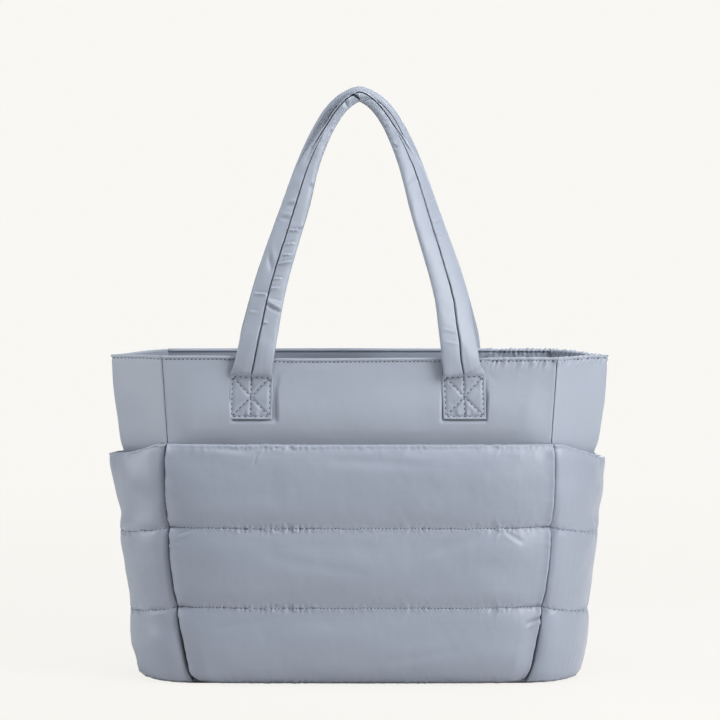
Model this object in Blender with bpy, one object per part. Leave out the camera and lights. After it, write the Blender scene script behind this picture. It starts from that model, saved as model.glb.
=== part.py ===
"""Quilted tote bag: an open body of six sewn panels, a quilted slip pocket on the front, a quilted
bottle pocket on each side, and two padded handles sewn on by flattened ends.

Metres, +Z up, the front faces -Y. The origin is in the middle of the base's underside.
"""

import math
from collections import namedtuple

import bpy
from mathutils import Matrix, Vector

# Body
RIM_WIDTH = 0.500          # from side crease to side crease at the mouth
PANEL_WIDTH = 0.394        # front or back panel between its two seams, at the mouth
BASE_DEPTH = 0.144         # front seam to back seam at the base
BODY_HEIGHT = 0.3215       # base to front rim
BACK_RIM_RISE = 0.004      # the back rim stands a little higher
PANEL_BOW = 0.004          # how far the middle of a panel stands in front of its seams
WALL = 0.003               # lightly padded cloth
BASE_THICKNESS = 0.004
BASE_EDGE = 0.004          # how far the base's lower edge is drawn in
BASE_EDGE_ROUND = (0.4, 0.3)  # a point of that rounding: shares of BASE_THICKNESS up and BASE_EDGE in
SEAM_GAP = 0.0003          # between two sewn pieces
POCKET_GAP = 0.0006        # between the body and a pocket's sewn edges

# Quilting, shared by the pockets and the back panel
QUILT_BOTTOM = 0.0015      # the quilted zone hangs round the base's edge, from here
QUILT_DROP = 0.083         # front rim down to the quilted zone's top edge
POCKET_CORNER = 0.014      # radius of the front pocket's two lower corners
QUILT_CHANNELS = (0.0, 0.321, 0.654, 1.0)  # seams of the three channels, as shares of the zone
HEM = 0.002                # thickness of a pocket wall at its hems and quilting seams
PUFF_SHAPE = 3.2           # how square a channel's crown is
FRONT_PADDING = 0.010      # what a channel's crown adds to the hem's thickness
SIDE_PADDING = 0.0085
BACK_PADDING = 0.006
EDGE_SHAPE = 12            # how square a padded wall is towards its two seams, on the front and back
SIDE_EDGE_SHAPE = 6        # the same round an end

# Pockets
FRONT_ROOM = 0.018         # largest distance from the front panel to the pocket wall's middle
SIDE_ROOM = 0.0275         # the same on a side pocket
FRONT_ROOM_SHAPE = 8       # how square that room is across the front
SIDE_ROOM_SHAPE = 2.5      # the same round an end
SIDE_SAG = 0.017           # how far a side pocket's mouth hangs at its side crease

# Handles
HANDLE_SPACING = 0.208     # between the middles of a handle's two ends
HANDLE_RISE = 0.264        # front rim up to the middle of the strap at its highest point
HANDLE_CLEARANCE = 0.0015  # from the strap's highest point to the centre plane
PATCH_DROP = 0.014         # front rim down to the strap's sewn end
PATCH_HEIGHT = 0.044
PATCH_THICKNESS = 0.003
PATCH_GAP = 0.0004         # between a sewn end and the panel
STRAP_WIDTH = 0.041
STRAP_THICKNESS = 0.009

FABRIC_COLOUR = (0.36, 0.40, 0.47, 1.0)
FABRIC_ROUGHNESS = 0.42

# The body's form by height. height: share of BODY_HEIGHT. panel: half the panel's width, as a share of
# PANEL_WIDTH / 2. side: side crease from the middle, as a share of RIM_WIDTH / 2. depth: seam from the
# middle, as a share of BASE_DEPTH / 2. bow: share of PANEL_BOW. round: gusset creased (0) to round (1).
BodyRow = namedtuple("BodyRow", "height panel side depth bow round")
BODY_FORM = (
    BodyRow(0.000, 0.835, 0.850, 1.000, 0.5, 0.86),
    BodyRow(0.031, 0.852, 0.846, 1.000, 0.5, 0.84),
    BodyRow(0.125, 0.880, 0.830, 1.000, 0.7, 0.76),
    BodyRow(0.238, 0.908, 0.822, 0.995, 0.9, 0.62),
    BodyRow(0.361, 0.930, 0.832, 0.985, 1.0, 0.50),
    BodyRow(0.484, 0.948, 0.846, 0.970, 1.0, 0.38),
    BodyRow(0.613, 0.960, 0.900, 0.950, 1.0, 0.26),
    BodyRow(0.700, 0.967, 0.950, 0.932, 1.0, 0.18),
    BodyRow(0.741, 0.970, 0.967, 0.925, 1.0, 0.14),
    BodyRow(0.816, 0.978, 0.982, 0.910, 1.0, 0.08),
    BodyRow(0.916, 0.990, 0.995, 0.885, 1.0, 0.04),
    BodyRow(1.000, 1.000, 1.000, 0.870, 1.0, 0.00),
)

# A pocket wall by height. height: share of the quilted zone. front, side: how far the wall's middle
# stands off the body, as shares of FRONT_ROOM and SIDE_ROOM. sag: share of SIDE_SAG.
PocketRow = namedtuple("PocketRow", "height front side sag")
POCKET_FORM = (
    PocketRow(0.000, 0.12, 0.06, 0.00),
    PocketRow(0.050, 0.55, 0.17, 0.05),
    PocketRow(0.155, 0.87, 0.57, 0.30),
    PocketRow(0.321, 0.80, 0.80, 0.56),
    PocketRow(0.400, 0.95, 0.84, 0.56),
    PocketRow(0.520, 1.00, 0.91, 0.56),
    PocketRow(0.654, 0.82, 0.99, 0.56),
    PocketRow(0.740, 0.92, 0.83, 0.62),
    PocketRow(0.824, 0.93, 0.75, 0.72),
    PocketRow(1.000, 0.60, 0.42, 1.00),
)

# Folds pressed into the front pocket. across: from its middle, as a share of its half width. height:
# share of the quilted zone. run, rise: half the fold's length each way, as shares of the same two.
# width: half the fold's width, as a share of the quilted zone. depth: share of FRONT_PADDING.
FoldRow = namedtuple("FoldRow", "across height run rise width depth")
POCKET_FOLDS = (
    FoldRow(0.79, 0.595, 0.05, -0.030, 0.016, 0.30),
    FoldRow(0.91, 0.270, 0.07, 0.020, 0.014, 0.42),
    FoldRow(0.86, 0.065, 0.05, 0.035, 0.022, 0.32),
    FoldRow(-0.93, 0.600, 0.04, 0.016, 0.012, 0.30),
    FoldRow(-0.60, 0.255, 0.10, 0.012, 0.016, 0.16),
    FoldRow(0.30, 0.905, 0.14, -0.014, 0.024, 0.14),
)

# One leg of a handle above its sewn end. rise: share of the way up to the strap's highest point. front,
# back: distance from the middle on the front and the back handle, as a share of HANDLE_SPACING / 2. lean:
# share of the way in to that point. twist: degrees, towards +X on the front handle. width, thick: shares
# of the strap's own, which bunches together at the top.
LegRow = namedtuple("LegRow", "rise front back lean twist width thick")
HANDLE_LEG = (
    LegRow(0.014, 0.998, 1.000, -0.055, 0, 0.98, 0.80),
    LegRow(0.045, 0.993, 1.010, -0.075, 0, 0.93, 0.95),
    LegRow(0.105, 0.973, 1.000, -0.040, 8, 0.91, 1.00),
    LegRow(0.175, 0.932, 0.962, 0.040, 17, 0.89, 1.00),
    LegRow(0.250, 0.890, 0.915, 0.130, 24, 0.88, 1.00),
    LegRow(0.345, 0.826, 0.845, 0.250, 29, 0.87, 1.00),
    LegRow(0.440, 0.748, 0.762, 0.370, 33, 0.86, 1.00),
    LegRow(0.520, 0.679, 0.689, 0.470, 36, 0.85, 1.00),
    LegRow(0.600, 0.612, 0.618, 0.570, 37, 0.81, 1.02),
    LegRow(0.690, 0.537, 0.548, 0.680, 36, 0.70, 1.04),
    LegRow(0.780, 0.448, 0.472, 0.790, 32, 0.56, 1.06),
    LegRow(0.840, 0.370, 0.412, 0.860, 27, 0.45, 1.08),
    LegRow(0.895, 0.285, 0.345, 0.920, 19, 0.36, 1.10),
    LegRow(0.945, 0.195, 0.255, 0.965, 10, 0.34, 1.20),
    LegRow(0.982, 0.095, 0.135, 0.990, 4, 0.36, 1.35),
)
HANDLE_PEAK = LegRow(1.000, 0.0, 0.0, 1.000, 0, 0.38, 1.50)
PATCH_WIDTH_SHARE = 1.05       # a strap's flattened end is a little wider than its padded run
STRAP_SEAM_SHARE = 0.45        # thickness at the strap's middle seam
STRAP_SEAM_SPREAD = 0.16
STRAP_EDGE_SHAPE = 0.42
PATCH_SEAM_SHARE = 0.9         # the seam hardly shows where the strap is sewn flat

# Where a wall's surface is sampled. Across: from seam (-1) to seam (1). Along a channel: 0 to 1.
PANEL_ACROSS = (-1.0, -0.75, -0.5, -0.25, 0.0, 0.25, 0.5, 0.75, 1.0)
PADDED_ACROSS = (-1.0, -0.985, -0.95, -0.85, -0.6, -0.3, 0.0, 0.3, 0.6, 0.85, 0.95, 0.985, 1.0)
POCKET_ACROSS = (-1.0, -0.985, -0.95, -0.9, -0.84, -0.76, -0.66, -0.54, -0.4, -0.2, 0.0, 0.2, 0.36, 0.5,
                 0.62, 0.72, 0.78, 0.83, 0.88, 0.92, 0.955, 0.985, 1.0)
GUSSET_ACROSS = (-1.0, -0.95, -0.82, -0.65, -0.44, -0.2, 0.0, 0.2, 0.44, 0.65, 0.82, 0.95, 1.0)
CHANNEL_STEPS = (0.0, 0.05, 0.15, 0.3, 0.5, 0.7, 0.85, 0.95)
STRAP_ACROSS = (-1.0, -0.88, -0.55, -0.18, 0.0, 0.18, 0.55, 0.88, 1.0)

# Heights that follow
WALL_FOOT = BASE_THICKNESS + SEAM_GAP
QUILT_TOP = BODY_HEIGHT - QUILT_DROP
PATCH_TOP = BODY_HEIGHT - PATCH_DROP
PATCH_BOTTOM = PATCH_TOP - PATCH_HEIGHT
HANDLE_TOP = BODY_HEIGHT + HANDLE_RISE


def at_height(table, share):
    """The table's row at this height, each column in a straight line between its neighbours."""
    share = min(max(share, table[0].height), table[-1].height)
    upper = next(i for i in range(1, len(table)) if share <= table[i].height)
    low, high = table[upper - 1], table[upper]
    t = (share - low.height) / (high.height - low.height)
    return type(low)(*(a + (b - a) * t for a, b in zip(low, high)))


def body_at(z):
    """The body's form at height z, as lengths."""
    row = at_height(BODY_FORM, z / BODY_HEIGHT)
    return BodyRow(
        z,
        row.panel * PANEL_WIDTH / 2,
        row.side * RIM_WIDTH / 2,
        row.depth * BASE_DEPTH / 2,
        row.bow * PANEL_BOW,
        row.round,
    )


def unit(x, y):
    length = math.hypot(x, y)
    return x / length, y / length


def panel_plan(form, across):
    """(point, outward normal) of the front panel in plan, from its left seam (-1) to its right (1)."""
    point = (across * form.panel, -(form.depth + form.bow * (1 - across**2)))
    slope = 2 * form.bow * across / form.panel
    return point, unit(slope, -1.0)


def gusset_point(form, across):
    """Point of the right gusset in plan, from its front seam (-1) past its crease (0) to the back (1)."""
    a = abs(across)
    turn = math.radians(90 * a)
    creased = (form.side + (form.panel - form.side) * a, form.depth * a)
    rounded = (
        form.panel + (form.side - form.panel) * math.cos(turn),
        form.depth * math.sin(turn),
    )
    x, y = (c + (r - c) * form.round for c, r in zip(creased, rounded))
    return x, math.copysign(y, across)


def gusset_plan(form, across, step=0.04):
    """(point, outward normal) of the right gusset in plan."""
    before = gusset_point(form, max(-1.0, across - step))
    after = gusset_point(form, min(1.0, across + step))
    return gusset_point(form, across), unit(after[1] - before[1], before[0] - after[0])


def seam_mitre(form):
    """At the front right seam: the offset direction, long enough to keep both walls' thickness,
    and the direction along the body from the panel to the gusset."""
    _, (ax, ay) = panel_plan(form, 1.0)
    _, (bx, by) = gusset_plan(form, -1.0)
    share = 1 + ax * bx + ay * by
    mx, my = (ax + bx) / share, (ay + by) / share
    along = unit(-my, mx)
    return (mx, my), along


def placed(point, normal, offset):
    return point[0] + normal[0] * offset, point[1] + normal[1] * offset


def panel_surface(z, across, offset):
    """Point on the front panel's outer face, moved out by offset. Its edges stop short of the seam."""
    form = body_at(z)
    point, normal = panel_plan(form, across)
    if abs(across) < 1.0:
        x, y = placed(point, normal, offset)
    else:
        mitre, along = seam_mitre(form)
        corner = placed((form.panel, -form.depth), along, -SEAM_GAP / 2)
        x, y = placed(corner, mitre, offset)
        x = math.copysign(x, across)
    return Vector((x, y, z))


def gusset_surface(z, across, offset):
    """Point on the right gusset's outer face, moved out by offset. Its edges stop short of the seams."""
    form = body_at(z)
    point, normal = gusset_plan(form, across)
    if abs(across) < 1.0:
        x, y = placed(point, normal, offset)
    else:
        mitre, along = seam_mitre(form)
        corner = placed((form.panel, -form.depth), along, SEAM_GAP / 2)
        x, y = placed(corner, mitre, offset)
        y = math.copysign(y, across)
    return Vector((x, y, z))


def rim_rise(z, across):
    """How much higher a point of a gusset's back half lies than the same point of its front half."""
    back_share = 1 - (1 - max(0.0, across)) ** 2.5
    return BACK_RIM_RISE * (z / BODY_HEIGHT) ** 3 * back_share


def crown(share):
    """Height of a cushion's crown, 0 at its edges and 1 in its middle, across a share from 0 to 1."""
    return math.sqrt(max(0.0, 1 - abs(2 * share - 1) ** PUFF_SHAPE))


def side_fill(across, shape):
    """How full a padded wall is at this place across it: 1 in the middle, 0 at its seams."""
    return math.sqrt(max(0.0, 1 - abs(across) ** shape))


def channel_rows():
    """(share of the quilted zone, crown) of each row of points up a quilted wall."""
    rows = []
    for low, high in zip(QUILT_CHANNELS, QUILT_CHANNELS[1:]):
        rows += [(low + (high - low) * s, crown(s)) for s in CHANNEL_STEPS]
    return rows + [(1.0, 0.0)]


def quilt_height(share, bottom=QUILT_BOTTOM):
    """Height of a share of the quilted zone."""
    return bottom + (QUILT_TOP - bottom) * share


def fabric(name):
    material = bpy.data.materials.new(name + "_nylon")
    material.use_nodes = True
    shader = material.node_tree.nodes["Principled BSDF"]
    shader.inputs["Base Color"].default_value = FABRIC_COLOUR
    shader.inputs["Roughness"].default_value = FABRIC_ROUGHNESS
    shader.inputs["Metallic"].default_value = 0.0
    return material


def add_piece(name, points, faces, smooth_angle=50):
    mesh = bpy.data.meshes.new(name)
    mesh.from_pydata([tuple(p) for p in points], [], faces)
    mesh.shade_smooth()
    mesh.set_sharp_from_angle(angle=math.radians(smooth_angle))
    mesh.materials.append(fabric(name))
    bpy.context.scene.collection.objects.link(bpy.data.objects.new(name, mesh))


def wall(name, outer, inner, mirrored=False):
    """A closed sheet between two grids of points, whose rows go up and columns to the right from outside."""
    rows, columns = len(outer), len(outer[0])
    points = [p for grid in (outer, inner) for row in grid for p in row]
    back = rows * columns

    def index(r, c, start=0):
        return start + r * columns + c

    faces = []
    for r in range(rows - 1):
        for c in range(columns - 1):
            faces.append((index(r, c), index(r, c + 1), index(r + 1, c + 1), index(r + 1, c)))
            faces.append(tuple(index(r + i, c + j, back) for i, j in ((0, 0), (1, 0), (1, 1), (0, 1))))
    edge = [(0, c) for c in range(columns)] + [(r, columns - 1) for r in range(1, rows)]
    edge += [(rows - 1, c) for c in range(columns - 2, -1, -1)] + [(r, 0) for r in range(rows - 2, 0, -1)]
    for (r0, c0), (r1, c1) in zip(edge, edge[1:] + edge[:1]):
        faces.append((index(r1, c1), index(r0, c0), index(r0, c0, back), index(r1, c1, back)))
    if mirrored:
        points = [Vector((-p.x, p.y, p.z)) for p in points]
        faces = [tuple(reversed(face)) for face in faces]
    add_piece(name, points, faces)


def panel_heights():
    """Heights of the rows of a plain wall: its foot on the base, and the body table's own rows above."""
    heights = [row.height * BODY_HEIGHT for row in BODY_FORM]
    return [WALL_FOOT] + [z for z in heights if z > WALL_FOOT]


def front_panel():
    grids = [
        [[panel_surface(z, u, -depth) for u in PANEL_ACROSS] for z in panel_heights()]
        for depth in (0.0, WALL)
    ]
    wall("front_panel", *grids)


def back_panel():
    """Plain above the quilted zone and quilted below it. Built as a front and turned round."""
    quilted = [(quilt_height(share, WALL_FOOT), puff) for share, puff in channel_rows()]
    plain = [(z, 0.0) for z in panel_heights() if z > QUILT_TOP + HEM]
    outer, inner = [], []
    for z, puff in quilted + plain:
        rise = Vector((0, 0, rim_rise(z, 1.0)))
        padding = [BACK_PADDING * puff * side_fill(u, EDGE_SHAPE) for u in PADDED_ACROSS]
        outer.append([panel_surface(z, u, p) + rise for u, p in zip(PADDED_ACROSS, padding)])
        inner.append([panel_surface(z, u, -WALL) + rise for u in PADDED_ACROSS])
    turned = [[[Vector((-p.x, -p.y, p.z)) for p in row] for row in grid] for grid in (outer, inner)]
    wall("back_panel", *turned)


def gusset(name, mirrored):
    grids = []
    for depth in (0.0, WALL):
        grid = []
        for z in panel_heights():
            points = [gusset_surface(z, t, -depth) for t in GUSSET_ACROSS]
            rises = [Vector((0, 0, rim_rise(z, t))) for t in GUSSET_ACROSS]
            grid.append([p + rise for p, rise in zip(points, rises)])
        grids.append(grid)
    wall(name, *grids, mirrored)


def base_outline(z, offset):
    """The body's plan at its foot, moved out by offset, anticlockwise from above."""
    front = [panel_surface(WALL_FOOT, u, offset) for u in PANEL_ACROSS]
    right = [gusset_surface(WALL_FOOT, t, offset) for t in GUSSET_ACROSS]
    half = [Vector((p.x, p.y, z)) for p in front + right]
    return half + [Vector((-p.x, -p.y, z)) for p in half]


def base_panel():
    """A slab on which the walls stand, with its lower edge rounded off."""
    up, drawn_in = BASE_EDGE_ROUND
    outlines = [
        base_outline(0.0, -BASE_EDGE),
        base_outline(BASE_THICKNESS * up, -BASE_EDGE * drawn_in),
        base_outline(BASE_THICKNESS, 0.0),
    ]
    count = len(outlines[0])
    points = [p for outline in outlines for p in outline]
    faces = [tuple(range(count - 1, -1, -1)), tuple(range(2 * count, 3 * count))]
    for level in (0, count):
        for i in range(count):
            j = (i + 1) % count
            faces.append((level + i, level + j, level + count + j, level + count + i))
    add_piece("base_panel", points, faces)


def fold_depth(across, share):
    """How far the front pocket's face is pressed in here by its folds."""
    depth = 0.0
    for fold in POCKET_FOLDS:
        dx, dz = across - fold.across, share - fold.height
        length = math.hypot(fold.run, fold.rise)
        along = (dx * fold.run + dz * fold.rise) / length
        aside = (dz * fold.run - dx * fold.rise) / length
        depth += fold.depth * math.exp(-((along / length) ** 2) - (aside / fold.width) ** 2)
    return depth * FRONT_PADDING


def corner_inset(rise):
    """How far the front pocket's side edge draws in this high above its lower edge."""
    left = max(0.0, POCKET_CORNER - rise)
    return POCKET_CORNER - math.sqrt(POCKET_CORNER**2 - left**2)


def front_pocket():
    outer, inner = [], []
    for share, puff in channel_rows():
        z = quilt_height(share)
        room = at_height(POCKET_FORM, share).front * FRONT_ROOM
        narrowing = 1 - corner_inset(z - QUILT_BOTTOM) / body_at(z).panel
        inner_row, outer_row = [], []
        for u in POCKET_ACROSS:
            full = puff * side_fill(u, EDGE_SHAPE)
            thickness = HEM + FRONT_PADDING * full
            stand = room * (1 - abs(u) ** FRONT_ROOM_SHAPE) - thickness / 2
            inside = max(POCKET_GAP, stand)
            inner_row.append(panel_surface(z, u * narrowing, inside))
            folded = fold_depth(u, share) * full
            outer_row.append(panel_surface(z, u * narrowing, inside + thickness - folded))
        inner.append(inner_row)
        outer.append(outer_row)
    wall("front_pocket", outer, inner)


def side_pocket(name, mirrored):
    outer, inner = [], []
    for share, puff in channel_rows():
        row = at_height(POCKET_FORM, share)
        inner_row, outer_row = [], []
        for t in GUSSET_ACROSS:
            z = quilt_height(share) - SIDE_SAG * row.sag * (1 - t * t)
            thickness = HEM + SIDE_PADDING * puff * side_fill(t, SIDE_EDGE_SHAPE)
            stand = SIDE_ROOM * row.side * (1 - abs(t) ** SIDE_ROOM_SHAPE) - thickness / 2
            inside = max(POCKET_GAP, stand)
            inner_row.append(gusset_surface(z, t, inside))
            outer_row.append(gusset_surface(z, t, inside + thickness))
        inner.append(inner_row)
        outer.append(outer_row)
    wall(name, outer, inner, mirrored)


def strap_section(width, thickness, seam_share):
    """(across, out) points round a strap: two padded halves and a seam down the middle."""
    front = []
    for v in STRAP_ACROSS:
        full = (1 - v * v) ** STRAP_EDGE_SHAPE
        pinch = 1 - (1 - seam_share) * math.exp(-((v / STRAP_SEAM_SPREAD) ** 2))
        front.append((v * width / 2, thickness / 2 * full * pinch))
    return front + [(x, -y) for x, y in reversed(front[1:-1])]


def patch_stations():
    """Middle, outward normal, width and thickness of a strap's sewn end, on the front panel."""
    stations = []
    for z in (PATCH_BOTTOM, (PATCH_BOTTOM + PATCH_TOP) / 2, PATCH_TOP):
        form = body_at(z)
        across = HANDLE_SPACING / 2 / form.panel
        offset = PATCH_GAP + PATCH_THICKNESS / 2
        _, normal = panel_plan(form, across)
        middle = panel_surface(z, across, offset)
        stations.append((middle, Vector((*normal, 0)), STRAP_WIDTH * PATCH_WIDTH_SHARE, PATCH_THICKNESS))
    return stations


def leg_point(row, which, start):
    """Middle of the strap at a row of the leg table, for the +X leg of a handle on the front."""
    x = getattr(row, which) * HANDLE_SPACING / 2
    meet = -(STRAP_THICKNESS * HANDLE_PEAK.thick / 2 + HANDLE_CLEARANCE)
    y = start.y + (meet - start.y) * row.lean
    z = PATCH_TOP + (HANDLE_TOP - PATCH_TOP) * row.rise
    return Vector((x, y, z))


def handle_rings(which):
    """(middle, facing, twist, width, thickness, seam share) of each ring, from the -X end to the +X end."""
    patch = patch_stations()
    start = patch[-1][0]
    leg = [(p, n, 0.0, w, t, PATCH_SEAM_SHARE) for p, n, w, t in patch]
    for row in HANDLE_LEG:
        size = (STRAP_WIDTH * row.width, STRAP_THICKNESS * row.thick)
        leg.append((leg_point(row, which, start), Vector((0, -1, 0)), row.twist, *size, STRAP_SEAM_SHARE))
    size = (STRAP_WIDTH * HANDLE_PEAK.width, STRAP_THICKNESS * HANDLE_PEAK.thick)
    peak = (leg_point(HANDLE_PEAK, which, start), Vector((0, -1, 0)), 0.0, *size, STRAP_SEAM_SHARE)
    left = [
        (Vector((-p.x, p.y, p.z)), Vector((-n.x, n.y, n.z)), twist, *rest)
        for p, n, twist, *rest in leg
    ]
    right = [(p, n, -twist, *rest) for p, n, twist, *rest in reversed(leg)]
    return left + [peak] + right


def handle(name, which, turned):
    """A strap swept through its rings. The back handle is built as a front one and turned round."""
    rings = handle_rings(which)
    middles = [ring[0] for ring in rings]
    points = []
    for i, (middle, facing, twist, width, thickness, seam_share) in enumerate(rings):
        tangent = (middles[min(i + 1, len(rings) - 1)] - middles[max(i - 1, 0)]).normalized()
        facing = (facing - tangent * facing.dot(tangent)).normalized()
        facing = Matrix.Rotation(math.radians(twist), 3, tangent) @ facing
        across = tangent.cross(facing)
        for x, y in strap_section(width, thickness, seam_share):
            points.append(middle + across * x + facing * y)
    count = len(strap_section(1, 1, 1))
    faces = [tuple(range(count - 1, -1, -1)), tuple(range(len(points) - count, len(points)))]
    for ring in range(len(rings) - 1):
        for i in range(count):
            j = (i + 1) % count
            low, high = ring * count, (ring + 1) * count
            faces.append((low + i, low + j, high + j, high + i))
    if turned:
        points = [Vector((-p.x, -p.y, p.z)) for p in points]
    add_piece(name, points, faces)


def main():
    for old in list(bpy.data.objects):
        bpy.data.objects.remove(old)
    base_panel()
    front_panel()
    back_panel()
    gusset("gusset_right", mirrored=False)
    gusset("gusset_left", mirrored=True)
    front_pocket()
    side_pocket("side_pocket_right", mirrored=False)
    side_pocket("side_pocket_left", mirrored=True)
    handle("front_handle", "front", turned=False)
    handle("back_handle", "back", turned=True)


main()
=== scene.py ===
"""Looks of the quilted tote bag: padded nylon modelled from the bag's own form and blown up by cloth
simulation, with seams, gathers and stitches, in soft studio light.

Metres, +Z up, the front faces -Y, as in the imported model.
"""

import math
from collections import namedtuple

import bpy
import numpy as np
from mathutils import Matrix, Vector

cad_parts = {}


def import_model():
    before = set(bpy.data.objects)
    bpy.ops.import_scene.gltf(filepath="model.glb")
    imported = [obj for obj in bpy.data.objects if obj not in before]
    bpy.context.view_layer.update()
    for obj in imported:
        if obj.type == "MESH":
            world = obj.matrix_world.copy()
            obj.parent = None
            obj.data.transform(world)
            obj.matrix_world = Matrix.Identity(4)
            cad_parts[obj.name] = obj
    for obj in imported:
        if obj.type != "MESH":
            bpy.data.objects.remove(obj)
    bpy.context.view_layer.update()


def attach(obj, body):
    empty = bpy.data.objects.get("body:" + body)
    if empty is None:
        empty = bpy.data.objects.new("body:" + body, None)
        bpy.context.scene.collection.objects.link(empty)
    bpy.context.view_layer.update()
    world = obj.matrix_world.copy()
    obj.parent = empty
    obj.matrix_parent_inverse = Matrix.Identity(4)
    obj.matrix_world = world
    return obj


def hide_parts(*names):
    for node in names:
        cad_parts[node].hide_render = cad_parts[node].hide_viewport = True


# Body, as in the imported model
RIM_WIDTH = 0.500
PANEL_WIDTH = 0.394
BASE_DEPTH = 0.144
BODY_HEIGHT = 0.3215
BACK_RIM_RISE = 0.004
PANEL_BOW = 0.004
WALL = 0.003
BASE_THICKNESS = 0.004
BASE_EDGE = 0.004
SEAM_GAP = 0.0003
POCKET_GAP = 0.0006

# Quilting
QUILT_BOTTOM = 0.0015
QUILT_DROP = 0.083
POCKET_CORNER = 0.014
QUILT_CHANNELS = (0.0, 0.321, 0.654, 1.0)
HEM = 0.002
PUFF_SHAPE = 3.2
FRONT_PADDING = 0.010
SIDE_PADDING = 0.0085
BACK_PADDING = 0.006
EDGE_SHAPE = 12
SIDE_EDGE_SHAPE = 6
EDGE_RADIUS = 0.0023       # how round the cloth of a pocket turns down to its side seams
SIDE_EDGE_RADIUS = 0.009   # the same on the bottle pockets
SEAM_FILL = 0.13           # how full a channel still is on its seams, as a share of its crown

# Pockets
FRONT_ROOM = 0.018
SIDE_ROOM = 0.0275
FRONT_ROOM_SHAPE = 8
SIDE_ROOM_SHAPE = 2.5
SIDE_SAG = 0.017

# Handles
HANDLE_SPACING = 0.208
HANDLE_RISE = 0.264
HANDLE_CLEARANCE = 0.0015
PATCH_DROP = 0.014
PATCH_HEIGHT = 0.044
PATCH_THICKNESS = 0.003
PATCH_GAP = 0.0004
STRAP_WIDTH = 0.041
STRAP_THICKNESS = 0.009

# The body by height, as shares of the sizes above
BodyRow = namedtuple("BodyRow", "height panel side depth bow round")
BODY_FORM = (
    BodyRow(0.000, 0.835, 0.850, 1.000, 0.5, 0.86),
    BodyRow(0.031, 0.852, 0.846, 1.000, 0.5, 0.84),
    BodyRow(0.125, 0.880, 0.830, 1.000, 0.7, 0.76),
    BodyRow(0.238, 0.908, 0.822, 0.995, 0.9, 0.62),
    BodyRow(0.361, 0.930, 0.832, 0.985, 1.0, 0.50),
    BodyRow(0.484, 0.948, 0.846, 0.970, 1.0, 0.38),
    BodyRow(0.613, 0.960, 0.900, 0.950, 1.0, 0.26),
    BodyRow(0.700, 0.967, 0.950, 0.932, 1.0, 0.18),
    BodyRow(0.741, 0.970, 0.967, 0.925, 1.0, 0.14),
    BodyRow(0.816, 0.978, 0.982, 0.910, 1.0, 0.08),
    BodyRow(0.916, 0.990, 0.995, 0.885, 1.0, 0.04),
    BodyRow(1.000, 1.000, 1.000, 0.870, 1.0, 0.00),
)

# A pocket wall by height in the quilted zone: how far it stands off the body, and how far it hangs
PocketRow = namedtuple("PocketRow", "height front side sag")
POCKET_FORM = (
    PocketRow(0.000, 0.12, 0.06, 0.00),
    PocketRow(0.050, 0.55, 0.17, 0.05),
    PocketRow(0.155, 0.87, 0.57, 0.30),
    PocketRow(0.321, 0.80, 0.80, 0.56),
    PocketRow(0.400, 0.95, 0.84, 0.56),
    PocketRow(0.520, 1.00, 0.91, 0.56),
    PocketRow(0.654, 0.82, 0.99, 0.56),
    PocketRow(0.740, 0.92, 0.83, 0.62),
    PocketRow(0.824, 0.93, 0.75, 0.72),
    PocketRow(1.000, 0.60, 0.42, 1.00),
)

# One leg of a handle above its sewn end
LegRow = namedtuple("LegRow", "height front back lean twist width thick")
HANDLE_LEG = (
    LegRow(0.014, 0.998, 1.000, -0.055, 0, 0.98, 0.80),
    LegRow(0.045, 0.993, 1.010, -0.075, 0, 0.93, 0.95),
    LegRow(0.105, 0.973, 1.000, -0.040, 8, 0.91, 1.00),
    LegRow(0.175, 0.932, 0.962, 0.040, 17, 0.89, 1.00),
    LegRow(0.250, 0.890, 0.915, 0.130, 24, 0.88, 1.00),
    LegRow(0.345, 0.826, 0.845, 0.250, 29, 0.87, 1.00),
    LegRow(0.440, 0.748, 0.762, 0.370, 33, 0.86, 1.00),
    LegRow(0.520, 0.679, 0.689, 0.470, 36, 0.85, 1.00),
    LegRow(0.600, 0.612, 0.618, 0.570, 37, 0.81, 1.02),
    LegRow(0.690, 0.537, 0.548, 0.680, 36, 0.70, 1.04),
    LegRow(0.780, 0.448, 0.472, 0.790, 32, 0.56, 1.06),
    LegRow(0.840, 0.370, 0.412, 0.860, 27, 0.45, 1.08),
    LegRow(0.895, 0.285, 0.345, 0.920, 19, 0.36, 1.10),
    LegRow(0.945, 0.195, 0.255, 0.965, 10, 0.34, 1.20),
    LegRow(0.982, 0.095, 0.135, 0.990, 4, 0.36, 1.35),
)
HANDLE_PEAK = LegRow(1.000, 0.0, 0.0, 1.000, 0, 0.38, 1.50)
PATCH_WIDTH_SHARE = 1.05
STRAP_SEAM_SHARE = 0.60
STRAP_SEAM_SPREAD = 0.032
STRAP_EDGE_SHAPE = 0.33
PATCH_SEAM_SHARE = 0.9

# The front of the rim is drawn up by its hem: (x, rise)
RIM_LIFT = (
    (-0.250, 0.0040), (-0.243, 0.0032), (-0.232, 0.0032), (-0.212, 0.0044), (-0.146, 0.0046),
    (-0.062, 0.0018), (0.040, 0.0024), (0.161, 0.0028), (0.222, 0.0028), (0.243, 0.0028), (0.250, 0.0040),
)
RIM_LIFT_FROM = 0.262

# Heights that follow
WALL_FOOT = BASE_THICKNESS + SEAM_GAP
QUILT_TOP = BODY_HEIGHT - QUILT_DROP
QUILT_ZONE = QUILT_TOP - QUILT_BOTTOM
PATCH_TOP = BODY_HEIGHT - PATCH_DROP
PATCH_BOTTOM = PATCH_TOP - PATCH_HEIGHT
HANDLE_TOP = BODY_HEIGHT + HANDLE_RISE

HALF_TURN = np.array([-1.0, -1.0, 1.0])  # turns a point round the bag's middle line

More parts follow.
